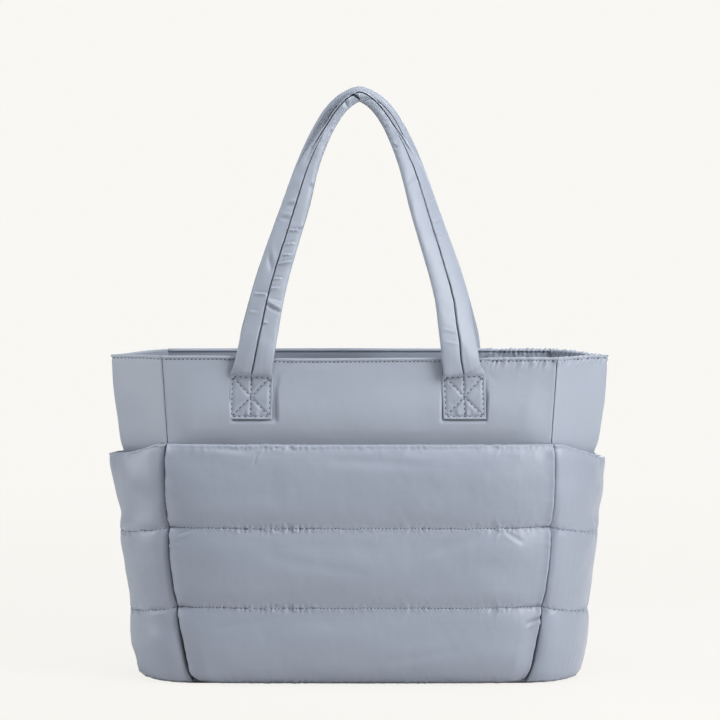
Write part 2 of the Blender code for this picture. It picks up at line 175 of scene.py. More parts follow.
# How finely the cloth is modelled
CLOTH_STEP = 0.0021        # between columns
RIM_STEP = 0.0014          # the same where the rim is gathered
POCKET_STEP = 0.00125      # the same on the pockets
POCKET_HALF = PANEL_WIDTH / 2 * 0.94  # half the front pocket's width, for spacing
BACK_HALF = PANEL_WIDTH / 2 * 0.95    # half the back panel's
GUSSET_HALF = 0.080        # half a gusset's length round
SIDE_HALF = 0.082          # half a bottle pocket's
POCKET_BLEND = 0.08        # share of the front pocket's half width over which it turns to its side seams
SIDE_BLEND = 0.35          # the same on the bottle pockets
ROW_STEP = 0.0026          # between rows away from seams
SEAM_STEPS = (0.0, 0.0003, 0.0007, 0.0012, 0.0019)  # columns beside a seam
HIDDEN_STEP = 0.006        # the same where a pocket hides the wall
RIM_ZONE = 0.012           # rows are close together from the rim down to here
RIM_ROWS = 20
SIM_STEP = 0.0032          # in the cloth simulation
FRONT_CUT = (0.022, 0.004)  # how much wider cloth is cut, as a share, and how far it may move
SIDE_CUT = (0.014, 0.0018)
BACK_CUT = (0.018, 0.003)
CUT_TALLER = 0.01          # how much taller cloth is cut than its channels, as a share
CLOTH_FRAMES = 22
CLOTH_SETTINGS = {
    "quality": 6,
    "mass": 0.1,
    "air_damping": 2.0,
    "tension_stiffness": 12.0,
    "compression_stiffness": 12.0,
    "shear_stiffness": 4.0,
    "bending_stiffness": 0.4,
    "tension_damping": 8.0,
    "compression_damping": 8.0,
    "shear_damping": 8.0,
    "uniform_pressure_force": 2.5,
}
ROLL_STEPS = 4             # points round a rolled edge
LUMPS = 96                 # cells of the random relief before it repeats

# Seams, gathers and stitches
HEM_BEAD = 0.0007          # how far the rolled hem of the front pocket stands up
SIDE_BEAD = 0.0014         # and of the bottle pockets
SLOT_LEFT = 0.0014         # between the front pocket's left edge and the body's seam, at the mouth
SLOT_RIGHT = 0.0002        # the same at its right edge
SEAM_DIP = 0.0019          # how far cloth turns in at a body seam
SEAM_TURN = 0.0020         # over this distance
GATHER = 0.0021            # height of the puckers at a quilting seam
GATHER_REACH = 0.0036      # the short ones die out over this distance
PULL_REACH = 0.010         # and the long ones over this
SEAM_WANDER = 0.0006       # how far a quilting seam strays from its line
RIM_STITCH_DROP = 0.0034   # rim to its stitches
RIM_BEAD = 0.0008          # how far the folded rim stands out above them
STITCH_LENGTH = 0.0026
STITCH_WIDTH = 0.0007
SEWN_TO = 0.985            # share of a front or back wall's half width that its stitches reach
END_SEWN_TO = 0.97         # the same on the ends
SIDE_SEWN_TO = 0.96        # and on the bottle pockets
FRONT_SEAM_SHOWN = 0.235   # length of the front handle's middle seam from each end, up to its fold
LINE_POINTS = 240          # points that a line is measured with
HOLE_SIZE = 0.0017         # the needle's hole between two stitches
EDGE_REACH = 0.012         # unevenness dies out over this distance from a plain wall's edges
PRESSED_IN = 0.6           # share of a pocket's thickness that creases may press in
INSIDE_DIP = 0.0016        # the same for the inside of the body's walls, in metres
RIM_PITCH = 0.0041
END_PITCH = 0.0057         # on the rims of the two ends
QUILT_PITCH = 0.0036
SIDE_PITCH = 0.0050        # on the bottle pockets
PATCH_PITCH = 0.0043
PATCH_INSET = 0.0028

# Flat sizes of the front wall's and the ends' cloth
FRONT_FLAT = (0.385, 0.32)
END_FLAT = (0.17, 0.325)

# Nylon and thread
SHELL_COLOUR = (0.354, 0.398, 0.474)
# The quilted pockets use the shell's nylon painted darker: painted shade for the light that falls off lower
# on the bag
QUILTING_SHADED_COLOUR = (0.304, 0.342, 0.416)
STRAP_COLOUR = (0.324, 0.366, 0.441)
THREAD_COLOUR = (0.50, 0.54, 0.62)
# Painted shade: colour of the dark marks put in the needle's holes between stitches
HOLE_SHADE_COLOUR = (0.06, 0.07, 0.10)

# Painted shade: cloth in a crevice is painted darker, within this reach and down to this share of its tone
CREVICE_SHADE_REACH = 0.007
CREVICE_SHADE_TONE = 0.22

# Camera: far away with a long lens, a little above the bag's middle
CAMERA_DISTANCE = 4.0
CAMERA_RISE = 3.5          # degrees
CAMERA_TARGET = (0.0005, 0.0, 0.318)
VIEW_WIDTH = 0.720 / 0.992  # what the picture's width shows at the target

# Light
BACKDROP = (0.945, 0.935, 0.900, 1)
FLOOR_COLOUR = (0.76, 0.75, 0.73, 1)
FLOOR_PLAIN = 0.90         # share of the floor's tone that shadows leave alone
FADE_FROM, FADE_TO = 0.35, 2.2  # distances over which the floor fades into the backdrop
WORLD_COLOUR = (0.97, 0.985, 1.0, 1)
WORLD_FROM = (0.30, 0.42, 0.85)
WORLD_DARK, WORLD_LIGHT = 0.04, 0.12
Light = namedtuple("Light", "name place height size power colour")
LIGHTS = (
    Light("key", (1.7, -1.55, 1.5), 0.3, (1.1, 1.1), 41.5, (1.0, 0.985, 0.99)),
    Light("side", (1.5, -0.5, 0.6), 0.3, (0.8, 0.8), 4.0, (1.0, 1.0, 1.0)),
    Light("front", (0.5, -1.1, 1.5), 0.3, (0.9, 0.9), 1.5, (1.0, 1.0, 1.0)),
    Light("top", (0.2, -0.5, 2.1), 0.2, (1.8, 1.2), 25.0, (1.0, 1.0, 1.0)),
    Light("back", (0.9, 2.3, 1.3), 0.3, (1.6, 1.4), 26.0, (1.0, 1.0, 1.0)),
    Light("left", (-2.2, 0.1, 0.9), 0.3, (1.0, 1.6), 23.5, (0.96, 0.98, 1.0)),
)


# Curves and random relief


def cubic(values, slope, old, new):
    """Values at new places, on the cubic curve through the old ones with these slopes."""
    i = np.clip(np.searchsorted(old, new, side="right") - 1, 0, len(old) - 2)
    step = old[i + 1] - old[i]
    t = (new - old[i]) / step
    if values.ndim > 1:
        step, t = (part.reshape(-1, *[1] * (values.ndim - 1)) for part in (step, t))
    return (
        values[i] * (1 + 2 * t) * (1 - t) ** 2
        + slope[i] * step * t * (1 - t) ** 2
        + values[i + 1] * t * t * (3 - 2 * t)
        + slope[i + 1] * step * t * t * (t - 1)
    )


def smooth_curve(xs, ys, x):
    """A smooth curve through (xs, ys) that rises and falls only where they do."""
    xs, ys = np.asarray(xs, float), np.asarray(ys, float)
    slope = np.diff(ys) / np.diff(xs)
    tangent = np.zeros(len(xs))
    tangent[0], tangent[-1] = slope[0], slope[-1]
    same = slope[:-1] * slope[1:] > 0
    with np.errstate(divide="ignore", invalid="ignore"):
        middle = 2 * slope[:-1] * slope[1:] / (slope[:-1] + slope[1:])
    tangent[1:-1] = np.where(same, middle, 0.0)
    return cubic(ys, tangent, xs, np.clip(x, xs[0], xs[-1]))


def column(table, name, share):
    """One column of a table as a smooth curve over its heights."""
    return smooth_curve([row.height for row in table], [getattr(row, name) for row in table], share)


def smoothstep(x):
    x = np.clip(x, 0.0, 1.0)
    return x * x * (3 - 2 * x)


def bell(away, width):
    """1 at no distance away, falling to nothing beyond about twice this width."""
    return np.exp(-((away / width) ** 2))


def lumps(x, y, size_x, size_y, seed):
    """Smooth random relief from -1 to 1, in lumps of about this size."""
    table = np.random.default_rng(seed).uniform(-1, 1, (LUMPS, LUMPS))
    fx, fy = np.asarray(x) / size_x + 31.7, np.asarray(y) / size_y + 17.3
    ix, iy = np.floor(fx).astype(int), np.floor(fy).astype(int)
    tx, ty = smoothstep(fx - ix), smoothstep(fy - iy)
    ix, iy, jx, jy = ix % LUMPS, iy % LUMPS, (ix + 1) % LUMPS, (iy + 1) % LUMPS
    low = table[ix, iy] + (table[jx, iy] - table[ix, iy]) * tx
    high = table[ix, jy] + (table[jx, jy] - table[ix, jy]) * tx
    return low + (high - low) * ty


def uneven(x, y, seed, layers):
    """Random relief in layers, each (height, size along x, size along y)."""
    total = 0.0
    for number, (height, size_x, size_y) in enumerate(layers):
        total = total + height * lumps(x, y, size_x, size_y, seed + number)
    return total


def unit(v):
    return v / np.maximum(np.linalg.norm(v, axis=-1, keepdims=True), 1e-12)


# The body's form


def body_at(z):
    """The body's form at heights z, as lengths."""
    share = z / BODY_HEIGHT
    return BodyRow(
        z,
        column(BODY_FORM, "panel", share) * PANEL_WIDTH / 2,
        column(BODY_FORM, "side", share) * RIM_WIDTH / 2,
        column(BODY_FORM, "depth", share) * BASE_DEPTH / 2,
        column(BODY_FORM, "bow", share) * PANEL_BOW,
        column(BODY_FORM, "round", share),
    )


def gusset_point(form, across):
    """Point of the right gusset in plan, from its front seam (-1) past its crease (0) to the back (1)."""
    a = np.abs(across)
    turn = np.radians(90) * a
    creased_x = form.side + (form.panel - form.side) * a
    creased_y = form.depth * a
    rounded_x = form.panel + (form.side - form.panel) * np.cos(turn)
    rounded_y = form.depth * np.sin(turn)
    x = creased_x + (rounded_x - creased_x) * form.round
    y = creased_y + (rounded_y - creased_y) * form.round
    return np.stack([x, np.sign(across) * y], -1)


def gusset_normal(form, across, step=0.07):
    """Direction out of the right gusset in plan, from points this far to either side."""
    before = gusset_point(form, np.maximum(-1.0, across - step))
    after = gusset_point(form, np.minimum(1.0, across + step))
    along = unit(after - before)
    return np.stack([along[..., 1], -along[..., 0]], -1)


def seam_mitre(form):
    """At the front right seam: the offset direction and the direction from the panel to the gusset."""
    slope = 2 * form.bow / form.panel
    a = unit(np.stack([slope, -np.ones_like(slope)], -1))
    b = gusset_normal(form, -np.ones_like(slope), 0.04)
    share = 1 + np.sum(a * b, -1, keepdims=True)
    mitre = (a + b) / share
    along = unit(np.stack([-mitre[..., 1], mitre[..., 0]], -1))
    return mitre, along


def panel_surface(z, across, offset, blend=0.015):
    """Points on the front panel's outer face, moved out by offset. Its edges stop short of the seam."""
    z, across, offset = np.broadcast_arrays(z, across, offset)
    form = body_at(z)
    side = np.sign(across)
    near = smoothstep((np.abs(across) - (1 - blend)) / blend)[..., None]
    point = np.stack([across * form.panel, -(form.depth + form.bow * (1 - across**2))], -1)
    slope = 2 * form.bow * across / form.panel
    normal = unit(np.stack([slope, -np.ones_like(slope)], -1))
    mitre, along = seam_mitre(form)
    flip = np.stack([side, np.ones_like(side)], -1)
    direction = normal + (mitre * flip - normal) * near
    xy = point + direction * offset[..., None] - along * flip * near * SEAM_GAP / 2
    return np.concatenate([xy, z[..., None]], -1)


def gusset_surface(z, across, offset, blend=0.06):
    """Points on the right gusset's outer face, moved out by offset. Its edges stop short of the seams."""
    z, across, offset = np.broadcast_arrays(z, across, offset)
    form = body_at(z)
    near = smoothstep((np.abs(across) - (1 - blend)) / blend)[..., None]
    mitre, along = seam_mitre(form)
    side = np.where(across > 0, -1.0, 1.0)
    flip = np.stack([np.ones_like(side), side], -1)
    normal = gusset_normal(form, across)
    direction = normal + (mitre * flip - normal) * near
    xy = gusset_point(form, across) + direction * offset[..., None] + along * flip * near * SEAM_GAP / 2
    return np.concatenate([xy, z[..., None]], -1)


def rim_rise(z, across):
    """How much higher a point of a gusset's back half lies than the same point of its front half."""
    back = 1 - (1 - np.clip(across, 0.0, 1.0)) ** 2.5
    return BACK_RIM_RISE * (z / BODY_HEIGHT) ** 3 * back


def rim_lift(point):
    """How much higher the front of the rim stands than its plain line, and the cloth just below it."""
    x, y, z = point[..., 0], point[..., 1], point[..., 2]
    lift = smooth_curve([place for place, _ in RIM_LIFT], [rise for _, rise in RIM_LIFT], x)
    below = smoothstep((z - RIM_LIFT_FROM) / (BODY_HEIGHT - RIM_LIFT_FROM))
    return lift * below * smoothstep((0.02 - y) / 0.04)


def crown(share):
    """Height of one channel across it, 0 at its seams and 1 in its middle."""
    return np.sqrt(np.maximum(0.0, 1 - np.abs(2 * share - 1) ** PUFF_SHAPE))


def channel_crown(share):
    """Height of the channels' crowns over the quilted zone, 0 on each seam and 1 between."""
    full = np.zeros_like(share)
    for low, high in zip(QUILT_CHANNELS, QUILT_CHANNELS[1:]):
        inside = (share >= low) & (share <= high)
        full = np.where(inside, crown((share - low) / (high - low)), full)
    return full


def inner_seams(share):
    """Whether the nearest quilting seam is one between two channels."""
    return (share > 0.1) & (share < 0.9)


def padded_crown(share):
    """The channels' crowns as cloth shows them: less deep on the seams than the solids."""
    edge = seam_distance(share, QUILT_ZONE)
    fill = SEAM_FILL * np.where(inner_seams(share), 1.0, smoothstep(edge / 0.01))
    return fill + (1 - fill) * channel_crown(share)


def edge_fill(away, radius=EDGE_RADIUS):
    """How full padded cloth is this far from the seam at its side."""
    return np.sqrt(np.maximum(0.0, 1 - np.maximum(0.0, 1 - away / radius) ** 2))


def side_fill(across, shape):
    """How full the solids are across their width, 0 at their side seams. shape: how square."""
    return np.sqrt(np.maximum(0.0, 1 - np.abs(across) ** shape))


def quilt_height(share, bottom=QUILT_BOTTOM):
    return bottom + (QUILT_TOP - bottom) * share


def seam_distance(share, zone):
    """Distance to the nearest quilting seam in the zone, its top and bottom edges included."""
    return np.min([np.abs(share - seam) for seam in QUILT_CHANNELS], axis=0) * zone


# Where the cloth is sampled


def columns(half_width, step=CLOTH_STEP, fine_until=None):
    """Places across a wall from -1 to 1, close together beside its two seams, and from its first seam
    to a given place."""
    inner = half_width - SEAM_STEPS[-1] - step
    count = max(4, int(round(2 * inner / step)))
    middle = np.linspace(-inner, inner, count + 1)
    if fine_until is not None:
        fine = np.arange(-inner, fine_until, RIM_STEP)
        middle = np.concatenate([fine, middle[middle > fine[-1] + RIM_STEP]])
    edge = half_width - np.array(SEAM_STEPS)
    return np.concatenate([-edge, middle, edge[::-1]]) / half_width


def channel_rows(zone):
    """Shares of the quilted zone from 0 to 1, close together beside each seam."""
    rows = [np.zeros(1)]
    for low, high in zip(QUILT_CHANNELS, QUILT_CHANNELS[1:]):
        count = int(round((high - low) * zone / ROW_STEP * 1.45))
        turn = np.linspace(0, 1, count + 1)[1:]
        close = (1 - np.cos(np.pi * turn)) / 2
        rows.append(low + (high - low) * (turn * 0.25 + close * 0.75))
    return np.concatenate(rows)


def even_rows(low, high, step=ROW_STEP):
    return np.linspace(low, high, max(3, int(round((high - low) / step)) + 1))


def rim_rows():
    """Heights close together at the rim."""
    return np.linspace(BODY_HEIGHT - RIM_ZONE, BODY_HEIGHT - WALL / 2, RIM_ROWS)


def plain_rows(hidden_until):
    """Heights on a plain wall: far apart where a pocket hides it, close together at the rim."""
    low = even_rows(WALL_FOOT, hidden_until, HIDDEN_STEP)
    high = even_rows(hidden_until, BODY_HEIGHT - RIM_ZONE)
    return np.concatenate([low, high[1:], rim_rows()[1:]])


# Meshes


def mesh_object(name, points, faces, uvs=None):
    """An object with smooth shading. faces: lists of corners. uvs: places on the cloth, in metres."""
    mesh = bpy.data.meshes.new(name)
    mesh.from_pydata(np.asarray(points, float).tolist(), [], faces)
    mesh.shade_smooth()
    if uvs is not None:
        layer = mesh.uv_layers.new(name="metres")
        corners = np.empty(len(mesh.loops), np.int32)
        mesh.loops.foreach_get("vertex_index", corners)
        layer.data.foreach_set("uv", np.asarray(uvs, np.float32)[corners].ravel())
    obj = bpy.data.objects.new(name, mesh)
    bpy.context.scene.collection.objects.link(obj)
    return obj


def grid_faces(rows, cols):
    r, c = np.meshgrid(np.arange(rows - 1), np.arange(cols - 1), indexing="ij")
    first = (r * cols + c).ravel()
    return np.stack([first, first + 1, first + cols + 1, first + cols], -1)


def boundary(rows, cols):
    """Indices round a grid's edge, anticlockwise as seen from outside."""
    bottom = np.arange(cols)
    right = np.arange(1, rows) * cols + cols - 1
    top = (rows - 1) * cols + np.arange(cols - 2, -1, -1)
    left = np.arange(rows - 2, 0, -1) * cols
    return np.concatenate([bottom, right, top, left])


def cell(wanted, places):
    """Which cell of a grid each wanted place lies in, and how far along it, as a column."""
    found = np.interp(wanted, places, np.arange(len(places)))
    first = np.clip(found.astype(int), 0, len(places) - 2)
    return first, (found - first)[:, None]


class Sheet:
    """A wall of cloth: its outer and inner face as grids over up (rows) and across (columns)."""

    def __init__(self, up, across, outer, inner):
        self.up, self.across, self.outer, self.inner = up, across, outer, inner

    def turned(self):
        """The same wall on the other face of the bag."""
        return Sheet(self.up, self.across, self.outer * HALF_TURN, self.inner * HALF_TURN)

    def mirrored(self):
        flip = np.array([-1.0, 1.0, 1.0])
        outer, inner = self.outer[:, ::-1] * flip, self.inner[:, ::-1] * flip
        return Sheet(self.up, -self.across[::-1], outer, inner)

    def raised(self, rise):
        self.outer[..., 2] += rise
        self.inner[..., 2] += rise
        return self

    def lifted(self):
        """The same wall with the front of its rim drawn up."""
        for face in (self.outer, self.inner):
            face[..., 2] += rim_lift(face)
        return self

    def at(self, up, across):
        """Points and outward normals of the outer face at these places."""
        i, s = cell(up, self.up)
        j, t = cell(across, self.across)
        a, b = self.outer[i, j], self.outer[i, j + 1]
        c, d = self.outer[i + 1, j], self.outer[i + 1, j + 1]
        point = (a * (1 - t) + b * t) * (1 - s) + (c * (1 - t) + d * t) * s
        right = unit((b - a) * (1 - s) + (d - c) * s)
        rising = unit((c - a) * (1 - t) + (d - b) * t)
        return point, unit(np.cross(right, rising))

    def build(self, name, roll=(1.0, 1.0, 1.0, 1.0)):
        """The closed wall. roll: how round its bottom, right, top and left edges are."""
        rows, cols = self.outer.shape[:2]
        count = rows * cols
        outer, inner = self.outer.reshape(-1, 3), self.inner.reshape(-1, 3)
        face = grid_faces(rows, cols)
        faces = [face, face[:, ::-1] + count]
        edge = boundary(rows, cols)
        r, c = edge // cols, edge % cols
        inward = self.outer[np.clip(r, 1, rows - 2), np.clip(c, 1, cols - 2)]
        outward = unit(outer[edge] - inward)
        share = np.zeros(len(edge))
        for side, place in zip((r == 0, c == cols - 1, r == rows - 1, c == 0), roll):
            share = np.where(side, place, share)
        middle, half = (outer[edge] + inner[edge]) / 2, (outer[edge] - inner[edge]) / 2
        radius = np.linalg.norm(half, axis=1, keepdims=True) * share[:, None]
        points, rings = [outer, inner], [edge]
        for k in range(1, ROLL_STEPS):
            turn = math.pi * k / ROLL_STEPS
            points.append(middle + half * math.cos(turn) + outward * radius * math.sin(turn))
            rings.append(2 * count + (k - 1) * len(edge) + np.arange(len(edge)))
        rings.append(edge + count)
        for near, far in zip(rings, rings[1:]):
            faces.append(np.stack([near, far, np.roll(far, -1), np.roll(near, -1)], -1))
        points = np.concatenate(points)
        on_end = np.abs(points[:, 0]) > RIM_WIDTH * 0.41
        flat = np.where(on_end, points[:, 1], points[:, 0])
        uvs = np.stack([flat, points[:, 2]], -1)
        return mesh_object(name, points, np.concatenate(faces).tolist(), uvs)


# Cloth simulation


def spline_resample(field, old, new):
    """Values of a field along its first axis at new places, on a smooth curve through the old ones."""
    return cubic(field, np.gradient(field, old, axis=0), old, new)


def inflate(start, pinned, wider, limit):
    """How the cloth of a grid moves when it is cut a little wider and taller than its start and padding
    pushes it out, with its seams held. No point moves further than the limit."""
    rows, cols = start.shape[:2]
    points = start.reshape(-1, 3)
    mesh = bpy.data.meshes.new("cloth")
    mesh.from_pydata(points.tolist(), [], grid_faces(rows, cols).tolist())
    cloth = bpy.data.objects.new("cloth", mesh)
    bpy.context.scene.collection.objects.link(cloth)
    group = cloth.vertex_groups.new(name="seams")
    group.add(np.flatnonzero(pinned.ravel()).tolist(), 1.0, "REPLACE")
    cloth.shape_key_add(name="Basis")
    cut = cloth.shape_key_add(name="cut")
    size = np.array([1 + wider, 1 + wider, 1 + CUT_TALLER])
    cut.data.foreach_set("co", (points * size).astype(np.float32).ravel())
    cut.value = 0.0
    modifier = cloth.modifiers.new("cloth", "CLOTH")
    settings = modifier.settings
    for setting, value in CLOTH_SETTINGS.items():
        setattr(settings, setting, value)
    settings.vertex_group_mass = "seams"
    settings.rest_shape_key = cut
    settings.use_pressure = True
    settings.effector_weights.gravity = 0.0
    modifier.collision_settings.use_collision = False
    modifier.point_cache.frame_start = 1
    modifier.point_cache.frame_end = CLOTH_FRAMES
    scene = bpy.context.scene
    for number in range(1, CLOTH_FRAMES + 1):
        scene.frame_set(number)
    shown = cloth.evaluated_get(bpy.context.evaluated_depsgraph_get()).data
    moved = np.empty(len(points) * 3, np.float32)
    shown.vertices.foreach_get("co", moved)
    bpy.data.objects.remove(cloth)
    scene.frame_set(1)
    shift = moved.reshape(-1, 3).astype(float) - points
    length = np.linalg.norm(shift, axis=1, keepdims=True)
    shift *= limit * np.tanh(length / limit) / np.maximum(length, 1e-9)
    return shift.reshape(start.shape)


# Relief: creases, gathers

# A crease in the cloth, placed on the bag. x, z: its middle, in metres. run, rise: half its length each way.
# width, depth: of the groove. ridge: height beside it, as a share of the depth.
Crease = namedtuple("Crease", "x z run rise width depth ridge")


def creased(x, z, table):
    """How far the cloth is pressed in (negative) or stands up (positive) at these places."""
    relief = np.zeros_like(x)
    for row in table:
        length = math.hypot(row.run, row.rise)
        along = ((x - row.x) * row.run + (z - row.z) * row.rise) / length
        aside = ((z - row.z) * row.run - (x - row.x) * row.rise) / length
        ends = np.exp(-((along / length) ** 4))
        groove = -bell(aside, row.width)
        ridge = row.ridge * bell(aside + 1.7 * row.width, 1.1 * row.width)
        relief += row.depth * ends * (groove + ridge)
    return relief


def gathers(along, away, seed, height=GATHER):
    """Puckers along a quilting seam: short ones in clusters, and a few long ones where a thread pulls."""
    warped = along + 0.0012 * lumps(along, away, 0.009, 0.004, seed + 5)
    short = lumps(warped, away, 0.0021, 0.0030, seed) * bell(away, GATHER_REACH)
    clusters = np.maximum(0.35, 0.40 + 0.9 * lumps(along, away * 0, 0.019, 1.0, seed + 2))
    long = lumps(warped + 0.25 * away, away, 0.0034, 0.03, seed + 1) * bell(away, PULL_REACH)
    pulls = np.maximum(0.0, lumps(along, away * 0, 0.013, 1.0, seed + 7) - 0.25)
    return height * (short * clusters + 1.2 * long * pulls)


def seam_wander(along, away, seed):
    """How far the cloth beside a quilting seam strays up or down with it."""
    stray = lumps(along, away * 0, 0.0042, 1.0, seed) + 0.6 * lumps(along, away * 0, 0.013, 1.0, seed + 1)
    return SEAM_WANDER * stray * bell(away, 0.004)


def mouth_gathers(along, drop, seed):
    """Unevenness of the hem along a pocket's mouth."""
    slow = lumps(along, drop, 0.016, 0.02, seed)
    fine = lumps(along, drop, 0.005, 0.02, seed + 1)
    return (0.0007 * slow + 0.0004 * fine) * bell(drop, 0.007)


# Creases that show, placed on the bag
PANEL_CREASES = (
    Crease(-0.083, 0.318, 0.004, 0.004, 0.0012, 0.0010, 0.5),
    Crease(0.190, 0.241, 0.004, 0.001, 0.0010, 0.0010, 0.4),
    Crease(-0.080, 0.308, 0.012, 0.010, 0.0022, 0.0006, 0.4),
    Crease(-0.118, 0.310, 0.010, 0.009, 0.0025, 0.0005, 0.3),
    Crease(0.128, 0.305, 0.010, -0.008, 0.0025, 0.0005, 0.3),
)
POCKET_CREASES = (
    Crease(0.152, 0.148, 0.008, -0.005, 0.0020, 0.0009, 0.5),
    Crease(0.175, 0.066, 0.009, 0.005, 0.0018, 0.0034, 0.8),
    Crease(0.165, 0.010, 0.010, 0.008, 0.0030, 0.0030, 0.6),
    Crease(-0.181, 0.141, 0.005, 0.001, 0.0012, 0.0016, 0.6),
    Crease(-0.171, 0.153, 0.007, 0.003, 0.0016, 0.0014, 0.6),
    Crease(-0.172, 0.012, 0.003, 0.008, 0.0022, 0.0018, 0.8),
    Crease(-0.135, 0.236, 0.030, -0.004, 0.0030, 0.0007, 0.3),
    Crease(-0.102, 0.226, 0.002, 0.005, 0.0012, 0.0008, 0.4),
    Crease(0.020, 0.222, 0.055, -0.003, 0.0050, 0.0007, 0.3),
    Crease(-0.118, 0.062, 0.026, 0.004, 0.0040, 0.0009, 0.3),
    Crease(0.090, 0.140, 0.030, 0.010, 0.0050, 0.0009, 0.3),
    Crease(0.060, 0.030, 0.040, 0.006, 0.0050, 0.0009, 0.3),
    Crease(-0.040, 0.120, 0.045, -0.008, 0.0060, 0.0008, 0.2),
)


# Walls of the body


def seam_turn(across, half_width):
    """How far a wall's face has turned in at its two seams."""
    away = (1 - np.abs(across)) * half_width
    share = np.clip(1 - away / SEAM_TURN, 0.0, 1.0)
    return -SEAM_DIP * (1 - np.sqrt(np.maximum(0.0, 1 - share**2)))


def hem_relief(x, z, seed):
    """The rim's folded hem: a shallow step below its stitches, and gathers where the edge is drawn up."""
    drop = BODY_HEIGHT - z
    step = -0.0004 * smoothstep((drop - RIM_STITCH_DROP) / 0.0016)
    line = -0.0009 * bell(drop - RIM_STITCH_DROP, 0.0009)
    step = step + RIM_BEAD * bell(drop - 0.0016, 0.0009)
    drawn = smoothstep((x - 0.112) / 0.02)
    leaning = x + 0.35 * drop
    fine = lumps(leaning, drop, 0.0019, 0.02, seed) * bell(drop - 0.0045, 0.0042)
    return step + line + (0.00015 + 0.0018 * drawn) * fine


def rim_teeth(x, z, seed):
    """The inside of the rim where its elastic draws it into small folds, at the right."""
    drop = BODY_HEIGHT - z
    folds = np.sin(2 * math.pi * (x + 0.0006 * lumps(x, drop, 0.006, 0.01, seed)) / 0.0044)
    return 0.0016 * folds * smoothstep((x - 0.140) / 0.02) * bell(drop - 0.003, 0.004)


def plain_relief(x, z, seed):
    """Slow unevenness of lightly padded cloth."""
    return uneven(x, z, seed, ((0.0011, 0.075, 0.055), (0.0005, 0.030, 0.022), (0.00012, 0.009, 0.012)))


def wall_edges(z, low, high):
    """1 in a wall's middle, falling to 0 at its lower and upper edge."""
    return smoothstep((z - low) / EDGE_REACH) * smoothstep((high - z) / EDGE_REACH)


def front_panel():
    """The front wall: it bulges a little above the pocket and lies flat under the handles' ends."""
    across = -columns(PANEL_WIDTH / 2, fine_until=-0.095)[::-1]
    up = plain_rows(QUILT_TOP - 0.03)
    z, u = np.meshgrid(up, across, indexing="ij")
    half = body_at(z).panel
    x = u * half
    middle = smoothstep((1 - np.abs(u)) * half / 0.03)
    above = z - QUILT_TOP
    belly = 0.0042 * bell(above - 0.030, 0.024) * smoothstep((above + 0.004) / 0.02)
    relief = belly * middle * (z > QUILT_TOP - 0.01)
    relief = relief + plain_relief(x, z, 11) * middle * wall_edges(z, WALL_FOOT, BODY_HEIGHT)
    relief = relief + creased(x, z, PANEL_CREASES)
    relief = relief + hem_relief(x, z, 21)
    for side in (-1, 1):
        patch = np.abs(x - side * HANDLE_SPACING / 2) < STRAP_WIDTH * 0.56
        patch = patch & (z > PATCH_BOTTOM - 0.002) & (z < PATCH_TOP + 0.012)
        relief = np.where(patch, np.minimum(relief, 0.0) * 0.3, relief)
    outer = panel_surface(z, u, relief + seam_turn(u, half))
    inner = panel_surface(z, u, -WALL)
    return Sheet(up, across, outer, inner)


def quilted_shape(zone, share, place):
    """Slow unevenness of a padded channel, and none at its seams. place: (x, z) on the bag."""
    still = smoothstep(seam_distance(share, zone) / 0.02)
    layers = (0.0011, 0.060, 0.030), (0.0006, 0.024, 0.018), (0.00018, 0.008, 0.011)
    return still * uneven(*place, 51, layers)


def quilted_cloth(share, across, surface, half_width, wider, limit):
    """Where the simulated cloth of a quilted wall goes: its shift from the surface, on a finer grid."""
    rows = [np.zeros(1)]
    for low, high in zip(QUILT_CHANNELS, QUILT_CHANNELS[1:]):
        count = int(round((high - low) * QUILT_ZONE / SIM_STEP))
        rows.append(np.linspace(low, high, count + 1)[1:])
    held = np.cumsum([0] + [len(r) for r in rows[1:]])
    rows = np.concatenate(rows)
    cols = np.linspace(-1, 1, int(round(2 * half_width / SIM_STEP)) + 1)
    start = surface(*np.meshgrid(rows, cols, indexing="ij"))
    pinned = np.zeros(start.shape[:2], bool)
    pinned[held] = True
    pinned[:, [0, -1]] = True
    shift = inflate(start, pinned, wider, limit)
    shift = spline_resample(shift, rows, share)
    return np.moveaxis(spline_resample(np.moveaxis(shift, 1, 0), cols, across), 0, 1)


def pocket_faces(share, across):
    """Height of the front pocket's wall, its inner offset from the front panel and its thickness."""
    z = quilt_height(share)
    stand = column(POCKET_FORM, "front", share) * FRONT_ROOM * (1 - np.abs(across) ** FRONT_ROOM_SHAPE)
    solid = HEM + FRONT_PADDING * channel_crown(share) * side_fill(across, EDGE_SHAPE)
    edge_away = (1 - np.abs(across)) * PANEL_WIDTH / 2
    thickness = HEM + FRONT_PADDING * padded_crown(share) * edge_fill(edge_away)
    thickness = thickness + hem_bead(share, HEM_BEAD)
    piping = 0.0008 * bell(edge_away - 0.0012, 0.0010)
    thickness = thickness + np.where(across < 0, piping, 0.0)
    return z, eased(stand - solid / 2 - POCKET_GAP, edge_away, share), thickness


def eased(stand, edge_away, share):
    """How far a pocket's inner face stands off the body: no less than its gap, without a hard turn."""
    blend = (0.003 + 0.007 * smoothstep((0.32 - share) / 0.25)) * smoothstep(edge_away / 0.02)
    return POCKET_GAP + (stand + np.sqrt(stand**2 + blend**2)) / 2


def hem_bead(share, height):
    """The rolled hem along a pocket's mouth."""
    drop = (1 - share) * QUILT_ZONE
    return height * bell(drop - 0.0008, 0.0013)


